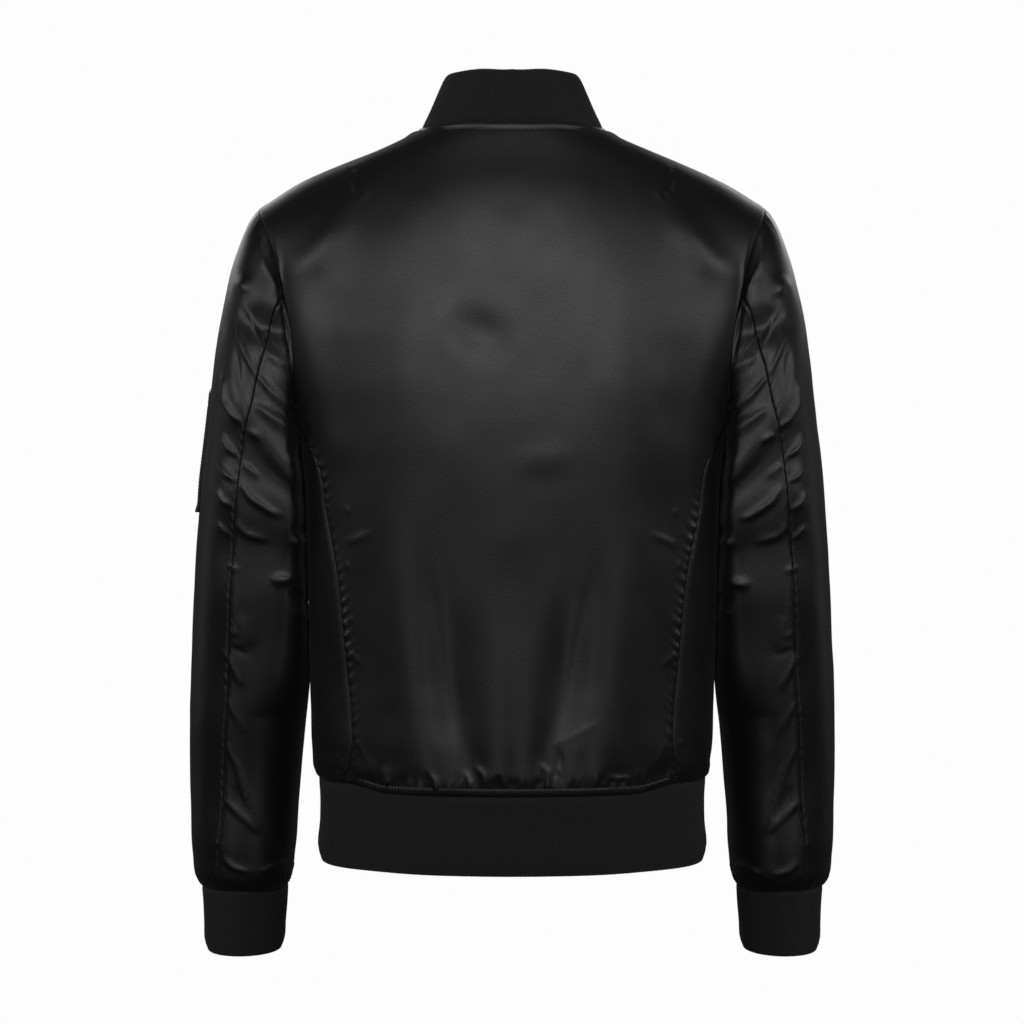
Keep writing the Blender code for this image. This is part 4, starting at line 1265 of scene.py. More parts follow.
# ================================================================ satin panels
@dataclass
class SatinPanel:
    """One cut piece of satin: its smooth surface, the relief laid on it, and its dressing."""

    solid: str
    surface: Grid
    cut: Cut
    finishes: Finishes
    thickness: float = 0.0010
    seam_pulls: Pulls = Pulls(0.0100, 0.0006, 0.0032)

    def __post_init__(self) -> None:
        """Finds the cloth's outward direction and its distances from the four edges."""
        self.out = outward(self.surface)
        self.from_left = running_length(self.surface, 1)
        self.from_top = running_length(self.surface, 0)
        self.from_right = self.from_left[:, -1:] - self.from_left
        self.from_bottom = self.from_top[-1:] - self.from_top
        self.relief = np.zeros(self.surface.shape[:2])

    @property
    def shape(self) -> Grid:
        """The cloth with its relief."""
        return self.surface + self.out * self.relief[..., None]

    @property
    def facing_back(self) -> Grid:
        """How far each point faces backward: 0 on the front side, 1 on the back."""
        return eased(0.5 + 2.5 * self.out[..., 1])

    def soften(self, height: float, pitch: float, seed: float) -> None:
        """Adds the slight unevenness of filled cloth: two sizes of ripple."""
        x, y, z = np.moveaxis(self.surface / pitch, -1, 0)
        fine = ripple(seed, 2.3 * x, 2.3 * y, 2.3 * z)
        self.relief += height * (ripple(seed, x, y, z) + 0.4 * fine)

    def crease(self, found: Sequence[Crease], gain: float = 1.0, where: Grid | float = 1.0) -> None:
        """Lays creases on the cloth, gain times as deep, as far as where says."""
        self.relief += gain * creased(self.surface, found) * where

    def sink(self, distance: Grid, depth: Grid | float, width: float) -> None:
        """Draws the cloth in to a line: a bell-shaped valley along it."""
        self.relief -= depth * bell(distance / width)

    def pucker(self, distance: Grid, run: Grid, seed: float, pulls: Pulls | None = None,
               share: Grid | float = 1.0) -> None:
        """Adds the uneven row of small pulls beside a seam.

        Along the seam they are a raised cosine with an uneven pitch and strength; away
        from it they rise to a crest at their reach and die out behind it.

        Args:
            distance: Distance of each point from the seam.
            run: Length along the seam.
            seed: Picks another unevenness.
            pulls: Sizes of the pulls.
            share: How much of them there is at each point.
        """
        pitch, height, reach = pulls or self.seam_pulls
        phase = run / pitch + 0.35 * ripple(seed, run / 0.021)
        crest = (0.5 + 0.5 * np.cos(2 * math.pi * phase)) ** 1.5
        strength = 0.6 + 0.4 * ripple(seed + 3, run / 0.034)
        away = distance / reach
        self.relief += share * height * crest * strength * away * np.exp(1 - away)

    def hold(self, *distances: Grid, reach: float = 0.0025) -> None:
        """Keeps the relief off the edges that meet cloth which lies another way."""
        for distance in distances:
            self.relief *= eased(distance / reach)

    def build(self, *rests_on: str) -> None:
        """Makes the piece, riding on the jacket, in place of its solid."""
        piece = grid_object(f"{self.solid}_satin", self.shape, self.finishes.satin)
        wall = piece.modifiers.new("cloth thickness", "SOLIDIFY")
        wall.thickness, wall.offset, wall.use_even_offset = self.thickness, -1.0, False
        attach(piece, JACKET)
        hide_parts(self.solid)
        corner = self.surface[:-1, :-1]
        cell = np.cross(self.surface[1:, :-1] - corner, self.surface[:-1, 1:] - corner)
        area = np.linalg.norm(cell, axis=-1).sum()
        log.info("%s: %d points, %.4f m2 of cloth", piece.name, self.relief.size, area)

    def stitches(self, name: str, rows: Grid, columns: Grid, stitch: Stitch) -> None:
        """A row of stitches through grid points of the cloth, each half sunk in it.

        Each is a six-sided rod of four rings, thin at both ends so that they close.

        Args:
            name: The row's name.
            rows, columns: Numbers of the grid points that it passes.
            stitch: Sizes of a stitch.
        """
        path, out = self.shape[rows, columns], self.out[rows, columns]
        run = run_along(path)
        middle = np.arange(stitch.pitch / 2, run[-1], stitch.pitch)
        places = middle[:, None] + np.array([-1.0, -0.6, 0.6, 1.0]) * stitch.length / 2
        centre, normal = interpolated(places, run, path), unit(interpolated(places, run, out))
        across = unit(np.cross(unit(np.gradient(centre, axis=1)), normal))
        turn = (np.arange(6) * math.pi / 3)[:, None]
        thick = stitch.radius * np.array([0.15, 1.0, 1.0, 0.15])[:, None, None]
        centre, normal, across = centre[:, :, None], normal[:, :, None], across[:, :, None]
        round_it = normal * np.cos(turn) + across * np.sin(turn)
        points = centre + normal * stitch.radius * 0.3 + round_it * thick
        number, walls = rods(points)
        ends = [ring for rod in number for ring in (rod[0][::-1], rod[-1])]
        thread = mesh_object(name, points.reshape(-1, 3), walls, None, self.finishes.thread, ends)
        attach(thread, JACKET)
        log.info("%s: %d stitches", name, len(number))


@dataclass
class Torso:
    """The body of the jacket: back, fronts and side panels, with its neck roll."""

    form: TorsoForm
    finishes: Finishes
    back_columns: Spacing = Spacing(0.0013, 0.0025, 0.022, at_start=False)
    back_rows: Spacing = Spacing(0.0012, 0.0025, 0.028)
    front_columns: Spacing = Spacing(0.0016, 0.0034, 0.020)
    front_rows: Spacing = Spacing(0.0016, 0.0032, 0.025)
    side_rows: Spacing = Spacing(0.0014, 0.0026, 0.020)
    side_columns: Spacing = Spacing(0.0012, 0.0030, 0.020)
    back_cut: Cut = Cut(0.480, 0.640, 0.230)
    front_cut: Cut = Cut(0.230, 0.640, 0.105)
    side_cut: Cut = Cut(0.185, 0.330, 0.048)
    back_pulls: Pulls = Pulls(0.0092, 0.0026, 0.0026)
    zip_pulls: Pulls = Pulls(0.0130, 0.0004, 0.0080)
    side_pulls: Pulls = Pulls(0.0100, 0.0004, 0.0032)
    arm_height: float = -0.235
    arm_fade: float = 0.03
    waist_height: float = -0.450
    waist_fade: float = 0.05
    waist_calm: float = 0.65
    seam_depth: float = 0.0010
    scallops: Scallops = Scallops(0.011, 0.0012, 0.016, 0.0080)
    fine_scallops: Scallops = Scallops(0.0036, 0.0009, 0.011, 0.0060)
    tuck_depth: float = 0.0036
    tuck_height: float = 0.0025
    tuck_fade: float = 0.0030
    roll_half_width: float = 0.081
    roll_fade: float = 0.030
    roll_below: float = 0.0013
    roll_wide: tuple[float, float] = (0.0013, 0.0009)  # at its ends, and more in the middle
    roll_high: tuple[float, float] = (0.0008, 0.0011)
    groove_below: float = 0.0027
    groove_wide: float = 0.0013
    foot_x: float = 0.0870
    foot_reach: tuple[float, float] = (0.0080, 0.010)
    foot_fill: float = 0.0024
    stitched_half_width: float = 0.060
    stitched_below: float = 0.0080
    neck_stitch: Stitch = Stitch(0.0030, 0.0017, 0.00080)
    topstitch: Stitch = Stitch(0.0032, 0.0023, 0.00024)
    topstitch_from_edge: float = 0.0062

    def lines(self, face: Face, rows: Spacing, columns: Spacing) -> tuple[Grid, Grid]:
        """Row and column numbers of a face's fine grid, spaced as wanted."""
        last = self.form.last_column(face)
        trial_rows, trial_columns = np.linspace(0, LAST_ROW, 321), np.linspace(0, last, 181)
        middle = self.form.half_panel(face, trial_rows, np.array([last * 0.6]))[:, 0]
        widest = self.form.half_panel(face, np.array([3.0]), trial_columns)[0]
        return spread(trial_rows, middle, rows), spread(trial_columns, widest, columns)

    def below_arm(self, panel: SatinPanel) -> Grid:
        """0 beside the armhole, 1 beside the side seam."""
        return eased((self.arm_height - panel.surface[..., 2]) / self.arm_fade)

    def back(self) -> None:
        """The back panel, with its darts, troughs, hem pulls and the roll at the neck."""
        rows, columns = self.lines(Face.BACK, self.back_rows, self.back_columns)
        half = self.form.half_panel(Face.BACK, rows, columns)
        whole = np.concatenate([half[:, ::-1], (half * MIRROR)[:, 1:]], axis=1)
        panel = SatinPanel("back_panel", whole, self.back_cut, self.finishes)
        panel.soften(height=0.0007, pitch=0.058, seed=1.0)
        panel.crease(BACK_PAIRED_CREASES, gain=1.2)
        panel.crease(shifted(reflected(BACK_PAIRED_CREASES), 0.5, -1.0, 0.12), gain=1.2)
        panel.crease(BACK_CREASES)
        panel.crease(HEM_PULLS, gain=1.3)
        below_arm = self.below_arm(panel)
        below_waist = eased((self.waist_height - panel.surface[..., 2]) / self.waist_fade)
        fading = 1 - self.waist_calm * below_waist
        edges = panel.from_left, panel.from_right
        for distance, seed in zip(edges, (2.0, 4.0)):
            panel.pucker(distance, panel.from_top, seed, self.back_pulls, below_arm * fading)
        panel.hold(*edges, reach=0.0010)
        for distance in edges:
            panel.sink(distance, self.seam_depth * below_arm, width=0.0020)
        self.neck_foot(panel)
        self.hem_blouse(panel)
        self.neck_roll(panel)
        columns = np.flatnonzero(np.abs(panel.surface[0, :, 0]) < self.stitched_half_width)
        rows = np.argmin(np.abs(panel.from_top[:, columns] - self.stitched_below), axis=0)
        panel.stitches("neck_stitches", rows, columns, self.neck_stitch)
        panel.build("front_left", "front_right")

    def hem_blouse(self, panel: SatinPanel) -> None:
        """Small uneven scallops above the hem seam; below it the cloth goes behind the rib."""
        up = panel.from_bottom - self.form.rise(panel.surface[..., 0])
        wide, fine = self.scallops, self.fine_scallops
        wave = wide.depth * ripple(21.0, panel.from_left / wide.pitch)
        small = ripple(22.0, panel.from_left / fine.pitch, up / wide.pitch)
        small = small * bell((up - fine.height) / fine.reach)
        panel.relief += wave * bell((up - wide.height) / wide.reach) + fine.depth * small
        panel.relief -= self.tuck_depth * eased((self.tuck_height - up) / self.tuck_fade)

    def neck_roll(self, panel: SatinPanel) -> None:
        """Raises the turned seam below the collar into a roll that tapers to its ends."""
        x = np.abs(panel.surface[..., 0])
        taper = eased((self.roll_half_width - x) / self.roll_fade)
        wide, high = (end + more * taper for end, more in (self.roll_wide, self.roll_high))
        bead = np.exp(-(np.abs((panel.from_top - self.roll_below - wide) / wide) ** 3))
        groove = bell((panel.from_top - self.groove_below - 2.2 * wide) / self.groove_wide)
        high = (x < self.roll_half_width) * high
        panel.relief += high * (bead - 0.5 * groove)

    def neck_foot(self, panel: SatinPanel) -> None:
        """Fills the corner where the shoulder seam meets the collar's foot."""
        beside = (np.abs(panel.surface[..., 0]) - self.foot_x) / self.foot_reach[0]
        panel.relief += self.foot_fill * bell(beside, panel.from_top / self.foot_reach[1])

    def front(self, side: Side) -> None:
        """One front: plain, with a turned edge at the zip and soft pulls."""
        rows, columns = self.lines(Face.FRONT, self.front_rows, self.front_columns)
        surface, found = self.form.half_panel(Face.FRONT, rows, columns), FRONT_CREASES
        if side is Side.RIGHT:
            surface, found = mirrored(surface), reflected(shifted(found, 3.0, 6.0, 0.2))
        panel = SatinPanel(side.of("front"), surface, self.front_cut, self.finishes)
        at_zip, at_side = (panel.from_left, panel.from_right)[:: side.value]
        panel.soften(height=0.0004, pitch=0.050, seed=30.0 + side.value)
        panel.crease(found)
        panel.pucker(at_side, panel.from_top, 31.0 + side.value)
        panel.pucker(at_zip, panel.from_top, 35.0 + side.value, self.zip_pulls)
        panel.sink(at_zip - self.topstitch_from_edge, depth=0.0005, width=0.0009)
        panel.hold(at_side, at_zip)
        self.neck_foot(panel)
        panel.sink(at_side, self.seam_depth * self.below_arm(panel), width=0.0022)
        self.hem_blouse(panel)
        panel.build("back_panel", side.of("zip_tape"))
        rows = np.flatnonzero(panel.from_bottom[:, 0] > 0.008)
        column = np.argmin(np.abs(at_zip[len(at_zip) // 2] - self.topstitch_from_edge))
        panel.stitches(f"{panel.solid}_topstitches", rows, column, self.topstitch)

    def side_panel(self, side: Side) -> None:
        """One side panel, from the side-front seam round to the side-back seam."""
        trial_rows, trial = np.linspace(ARM_ROW, LAST_ROW, 181), np.linspace(0, 1, 121)
        middle = self.form.side_panel(trial_rows, np.array([0.5]))[:, 0]
        around = self.form.side_panel(np.array([10.0]), trial)[0]
        rows = spread(trial_rows, middle, self.side_rows)
        surface = self.form.side_panel(rows, spread(trial, around, self.side_columns))
        found = SIDE_CREASES
        if side is Side.RIGHT:
            surface, found = mirrored(surface), shifted(reflected(found), 1.0, 2.0, 0.2)
        panel = SatinPanel(side.of("side_panel"), surface, self.side_cut, self.finishes)
        panel.soften(height=0.0005, pitch=0.045, seed=40.0 + side.value)
        panel.crease(found, where=panel.facing_back)
        for distance, seed in ((panel.from_left, 42.0), (panel.from_right, 44.0)):
            panel.pucker(distance, panel.from_top, seed + side.value, self.side_pulls)
            panel.sink(distance, self.seam_depth, width=0.0022)
        panel.hold(panel.from_top)
        self.hem_blouse(panel)
        panel.build("back_panel", side.of("front"))


@dataclass
class Sleeve:
    """One two-piece sleeve."""

    side: Side
    form: SleeveForm
    finishes: Finishes
    rows: Spacing = Spacing(0.0014, 0.0022, 0.030)
    columns: Spacing = Spacing(0.0012, 0.0030, 0.018)
    upper_cut: Cut = Cut(0.270, 0.640, 0.140)
    under_cut: Cut = Cut(0.230, 0.480, 0.090)
    seam_pulls: Pulls = Pulls(0.0088, 0.0013, 0.0020)
    crown_pulls: Pulls = Pulls(0.0140, 0.0008, 0.0060)
    cuff_pulls: Pulls = Pulls(0.0085, 0.0012, 0.0050)
    fine_cuff_pulls: Pulls = Pulls(0.0036, 0.0007, 0.0028)
    armhole_top: float = -0.075
    armhole_foot: float = -0.215
    armhole_fade: float = 0.03
    armhole_depth: float = 0.0036
    armhole_width: float = 0.0065

    def piece(self, name: str, first: float, last: float, cut: Cut, seed: float) -> SatinPanel:
        """A cut piece of the sleeve between two places round it, creased and puckered."""
        trial, places = np.linspace(0, 1, 301), np.linspace(first, last, 121)
        longest = first if first < self.form.front_seam else (first + last) / 2
        down = self.form.surface(trial, np.array([longest]))[:, 0]
        around = self.form.surface(np.array([0.5]), places)[0]
        along, place = spread(trial, down, self.rows), spread(places, around, self.columns)
        surface = self.form.surface(along, place)
        if self.side is Side.RIGHT:
            surface = mirrored(surface)
        panel = SatinPanel(self.side.of(name), surface, cut, self.finishes)
        self.relieve(panel, seed + 3 * self.side.value)
        return panel

    def relieve(self, panel: SatinPanel, seed: float) -> None:
        """Lays the elbow, armhole and cuff creases on a piece of the sleeve."""
        panel.soften(height=0.0005, pitch=0.040, seed=seed)
        behind, before = SLEEVE_CREASES, shifted(SLEEVE_CREASES, -4.0, -9.0, 0.25)
        if self.side is Side.RIGHT:
            behind, before = shifted(reflected(behind), 1.0, -2.0, 0.18), reflected(before)
        panel.crease(behind, 1.25, panel.facing_back)
        panel.crease(before, where=eased(0.5 - 2.5 * panel.out[..., 1]))
        for distance, own in ((panel.from_left, 1.0), (panel.from_right, 2.0)):
            panel.pucker(distance, panel.from_top, seed + own, self.seam_pulls)
            panel.sink(distance, depth=0.0007, width=0.0013)
        panel.pucker(panel.from_top, panel.from_left, seed + 5, self.crown_pulls)
        panel.pucker(panel.from_bottom, panel.from_left, seed + 6, self.cuff_pulls)
        panel.pucker(panel.from_bottom, panel.from_left, seed + 7, self.fine_cuff_pulls)
        panel.hold(panel.from_top, panel.from_bottom)
        height = panel.surface[..., 2]
        level = eased((height - self.armhole_foot) / self.armhole_fade)
        level = level * eased((self.armhole_top - height) / self.armhole_fade)
        depth = self.armhole_depth * level * panel.facing_back
        panel.sink(panel.from_top, depth, self.armhole_width)

    def build(self) -> None:
        """The upper sleeve over the outer side, and the under sleeve round the inner side."""
        seam, whole = self.form.front_seam, self.form.whole_round
        upper = self.piece("upper_sleeve", seam, whole, self.upper_cut, 50.0)
        upper.build("back_panel", self.side.of("front"))
        under = self.piece("under_sleeve", 0.0, seam, self.under_cut, 60.0)
        under.build("back_panel", self.side.of("side_panel"))


@dataclass
class SleevePocket:
    """The utility pocket on the left upper sleeve: a flat bag with a turned-up lower edge."""

    form: SleeveForm
    finishes: Finishes
    along: tuple[float, float] = (0.34, 0.50)
    places: tuple[float, float] = (13.0, 17.0)
    lift: float = 0.0017
    lip: float = 0.0016
    lip_height: float = 0.0090
    rounding: float = 0.0028
    mouth_seam: float = 0.014
    cut: Cut = Cut(0.125, 0.120, 0.0145)
    stitch: Stitch = Stitch(0.0030, 0.0022, 0.00022)
    inset: int = 3

    def build(self) -> None:
        """Raises the pocket off the sleeve, rounds its edges and stitches it down."""
        surface = self.form.surface(np.linspace(*self.along, 66), np.linspace(*self.places, 60))
        panel = SatinPanel("sleeve_pocket", surface, self.cut, self.finishes)
        edge = np.minimum(np.minimum(panel.from_left, panel.from_right), panel.from_top)
        lip = eased(1 - panel.from_bottom / self.lip_height)
        rounded = np.sqrt(eased(edge / self.rounding) * 0.96 + 0.04)
        panel.relief += (self.lift + self.lip * lip) * rounded
        panel.sink(panel.from_top - self.mouth_seam, depth=0.0006, width=0.0010)
        panel.soften(height=0.0003, pitch=0.030, seed=70.0)
        panel.build("upper_sleeve_left")
        row, column = (np.arange(self.inset, size) for size in panel.relief.shape)
        column = column[: -self.inset]
        rows = np.concatenate([row[::-1], 0 * column + self.inset, row])
        columns = np.concatenate([0 * row + self.inset, column, 0 * row + column[-1]])
        panel.stitches("pocket_stitches", rows, columns, self.stitch)


# ================================================================ rib bands
@dataclass(frozen=True)
class RibKnitting:
    """How a band of folded rib is made: its wall, the pitch and depth of its wales."""

    wall: float = 0.0030
    pitch: float = 0.0026
    depth: float = 0.00042
    samples: int = 4
    outer_rows: int = 12
    fold_rows: int = 5

    def band(self, name: str, at: Surface, height: float, length: float, material: Material,
             is_round: bool = False, standing: bool = False) -> Piece:
        """A band folded double: down its outer side, round the fold and up its inner side.

        Args:
            name: The piece's name.
            at: Gives points of the outer surface at a share of the height and a length round.
            height: Height of the band.
            length: Length round it.
            material: Its finish.
            is_round: Whether it is a closed ring.
            standing: Whether it stands on its seam instead of hanging from it.

        Returns:
            The object.
        """
        count = int(round(length / self.pitch)) * self.samples
        around = np.linspace(0, length, count + 1)
        if is_round:
            around = np.arange(count) / count * length
        half = self.wall / 2
        flat = np.linspace(0, 1 - half / height, self.outer_rows)
        turn = np.linspace(0, math.pi, self.fold_rows + 2)[1:-1]
        share = np.concatenate([flat, flat[-1] + half / height * np.sin(turn), flat[::-1]])
        side = np.full(len(flat), half)
        offset = np.concatenate([side, half * np.cos(turn), -side])[:, None, None]
        every = np.linspace(0, 1, 41)
        outer = at(every, around)
        out = outward(outer, is_round) * (-1 if standing else 1)
        middle, out = (self.resampled(each, every, share) for each in (outer - out * half, out))
        wale = np.cos(2 * math.pi * around / self.pitch)[None, :, None]
        edge = eased(np.minimum(share * 12, 1))[:, None, None]
        grid = middle + out * offset + out * np.sign(offset + 1e-9) * self.depth * wale * edge
        if standing:
            grid = grid[::-1]
        return grid_object(name, grid, material, True, is_round, not is_round)

    @staticmethod
    def resampled(values: Grid, places: Grid, wanted: Grid) -> Grid:
        """Rows of values interpolated at the wanted places."""
        cell = np.clip(np.searchsorted(places, wanted, side="right") - 1, 0, len(places) - 2)
        part = ((wanted - places[cell]) / (places[cell + 1] - places[cell]))[:, None, None]
        return values[cell] * (1 - part) + values[cell + 1] * part


@dataclass
class RibBands:
    """The rib hem, the cuffs, the collar, and the gathered roll above the hem."""

    torso: TorsoForm
    finishes: Finishes
    knitting: RibKnitting = RibKnitting()
    collar_middle_y: float = -0.010
    collar_seam: float = 0.006
    collar_corner: float = 0.010
    collar_corner_reach: float = 0.030
    collar_front_start: float = 0.03
    cuff_angles: int = 720
    roll_low: float = -0.5702
    roll_high: float = -0.5632
    roll_out: float = 0.0016
    roll_lean: float = 0.0010
    roll_swell: float = 0.0007
    roll_lift: float = 0.0010
    roll_clear: float = 0.0004
    gather: float = 0.0023

    def widened(self, x: Grid, scale: Grid) -> Grid:
        """x scaled away from the zip, whose opening keeps its width."""
        opening = self.torso.zip_opening
        return np.sign(x) * (opening + (np.abs(x) - opening) * scale)

    def ring(self, *parts: Grid, count: int = 2400) -> tuple[Grid, float]:
        """An open ring through the left side, the back and the mirrored right side.

        Args:
            *parts: Points of the left half, from the zip to the middle of the back, each
                part starting where the last one ends.
            count: How many points it is resampled to, evenly by length.

        Returns:
            The points and the ring's length.
        """
        half = np.concatenate([parts[0], *(part[1:] for part in parts[1:])])
        whole = np.concatenate([half, (half * MIRROR)[-2::-1]])
        run = run_along(whole)
        return interpolated(np.linspace(0, run[-1], count), run, whole), run[-1]

    @staticmethod
    def along(ring: Grid, length: float, around: Grid) -> Grid:
        """Points of an even ring at lengths round it."""
        return interpolated(around, np.linspace(0, length, len(ring)), ring)

    def hem(self) -> None:
        """The rib hem band and the gathered satin roll on its seam, from zip to zip."""
        last, outer = np.array([float(LAST_ROW)]), self.torso.last_column
        front = self.torso.half_panel(Face.FRONT, last, np.linspace(0, outer(Face.FRONT), 300))[0]
        side = self.torso.side_panel(last, np.linspace(0, 1, 200))[0]
        back = self.torso.half_panel(Face.BACK, last, np.linspace(outer(Face.BACK), 0, 300))[0]
        ring, length = self.ring(front, side, back)
        top, foot = HEM[0].height, HEM[-1].height

        def at(share: Grid, around: Grid) -> Grid:
            """Points of the hem's outer surface."""
            x, y, _ = self.along(ring, length, around).T
            height = top + (foot - top) * share
            wide, deep = through(HEM, height)[:, :, None]
            z = height[:, None] + self.torso.rise(x) * (1 - share[:, None])
            x = np.where(np.abs(x) < self.torso.zip_opening, x, self.widened(x, wide))
            return np.stack([x, y * deep, z], axis=-1)

        piece = self.knitting.band("hem_rib_knit", at, top - foot, length, self.finishes.rib)
        self.declare(piece, "hem_rib", (length, top - foot), "back_panel", "front_left",
                     "front_right", also=[self.roll(ring, length)])

    def roll(self, ring: Grid, length: float) -> Piece:
        """The satin gathered onto the hem: a small flat-faced tube, wavy with uneven gathers.

        Its section is round above and below and flat outside (the root of a cosine, and a
        sine), and its outer side and its top swell and sink with a cosine of the length round,
        whose pitch and depth are uneven.
        """
        around = np.linspace(0, length, int(length / self.gather * 4))
        seam = self.along(ring, length, around)
        out = unit(np.cross([0, 0, -1.0], np.gradient(seam, axis=0)))
        turn = (np.arange(14) / 14 * 2 * math.pi)[:, None]
        outer, upper = np.sign(np.cos(turn)) * np.sqrt(np.abs(np.cos(turn))), np.sin(turn)
        strong = np.clip(0.6 + 0.8 * ripple(81.0, around / 0.030), 0.15, 1.4)
        phase = around / self.gather + 0.8 * ripple(80.0, around / 0.013)
        wave = strong * np.cos(2 * math.pi * phase)
        swell = self.roll_swell * wave * np.clip(outer, 0, 1)
        depth = (self.roll_out * outer + self.roll_lean * upper) + swell + self.roll_clear
        depth = (depth + self.roll_clear) * (0.25 + 0.75 * eased(np.abs(out[:, 1]) * 1.3 - 0.1))
        height = between(self.roll_high, self.roll_low, upper)
        height = height + self.roll_lift * wave * np.clip(upper, 0, 1) + self.torso.rise(seam[:, 0])
        grid = seam[None] + out[None] * depth[..., None]
        grid[..., 2] = height
        satin = self.finishes.satin
        piece = grid_object("hem_gathered_roll", grid[::-1], satin, closed_rows=True, capped=True)
        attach(piece, JACKET)
        log.info("%s, %.3f m long", piece.name, length)
        return piece

    def cuff(self, side: Side) -> None:
        """One rib cuff."""
        angles = np.linspace(0, 2 * math.pi, self.cuff_angles)
        top, foot = CUFF[0].height, CUFF[-1].height

        def rings(height: Grid, angle: Grid) -> Grid:
            """Level rings of the cuff at these heights and angles."""
            outer_x, inner_x, middle_y, half_depth = through(CUFF, height)[:, :, None]
            x = between(outer_x, inner_x, np.cos(angle))
            y = middle_y + half_depth * np.sin(angle)
            return np.stack([x, y, np.broadcast_to(height[:, None], x.shape)], axis=-1)

        run = run_along(rings(np.array([top]), angles)[0])

        def at(share: Grid, around: Grid) -> Grid:
            """Points of the cuff's outer surface."""
            grid = rings(top + (foot - top) * share, np.interp(around, run, angles))
            return grid if side is Side.LEFT else mirrored(grid)

        name, size, rib = side.of("cuff"), (run[-1], top - foot), self.finishes.rib
        piece = self.knitting.band(f"{name}_knit", at, size[1], size[0], rib, is_round=True)
        self.declare(piece, name, size, side.of("upper_sleeve"), side.of("under_sleeve"))

    def collar(self) -> None:
        """The rib collar, a stand of folded knit on the neck seam."""
        first, form = np.array([0.0]), self.torso
        neck = np.linspace(0, form.front_neck_columns, 300)
        back_neck = np.linspace(form.back_neck_columns, 0, 300)
        ring, length = self.ring(form.half_panel(Face.FRONT, first, neck)[0],
                                 form.half_panel(Face.BACK, first, back_neck)[0])

        def at(share: Grid, around: Grid) -> Grid:
            """Points of the collar's outer surface, from the seam upward."""
            x, y, z = self.along(ring, length, around).T
            level = COLLAR[-1].level * share
            wide, deep, back_rise, front_rise = through(COLLAR, level)[:, :, None]
            frontness = np.clip(-y / form.neck_front_depth, 0, 1) ** 1.5
            from_zip = np.clip((np.abs(x) - form.zip_opening) / self.collar_corner_reach, 0, 1)
            from_zip = np.where(y < 0, from_zip, 1)
            rise = back_rise + (front_rise - back_rise) * frontness
            corner = self.collar_corner * (1 - from_zip) ** 2 * rise / COLLAR[-1].front_rise
            share_front = np.clip(-y / self.collar_front_start, 0, 1)
            x = self.widened(x, wide) * share_front + x * wide * (1 - share_front)
            y = self.collar_middle_y + (y - self.collar_middle_y) * deep
            return np.stack([x, y, z + rise - corner], axis=-1)

        height, rib = COLLAR[-1].back_rise, self.finishes.rib
        piece = self.knitting.band("collar_rib_knit", at, height, length, rib, standing=True)
        flat = length, height + self.collar_seam
        self.declare(piece, "collar_rib", flat, "back_panel", "front_left", "front_right")

    def declare(self, piece: Piece, solid: str, flat: tuple[float, float], *rests_on: str,
                also: Sequence[Piece] = ()) -> None:
        """Rides and replaces one band."""
        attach(piece, JACKET)
        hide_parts(solid)
        log.info("%s, %.3f m round", solid, flat[0])


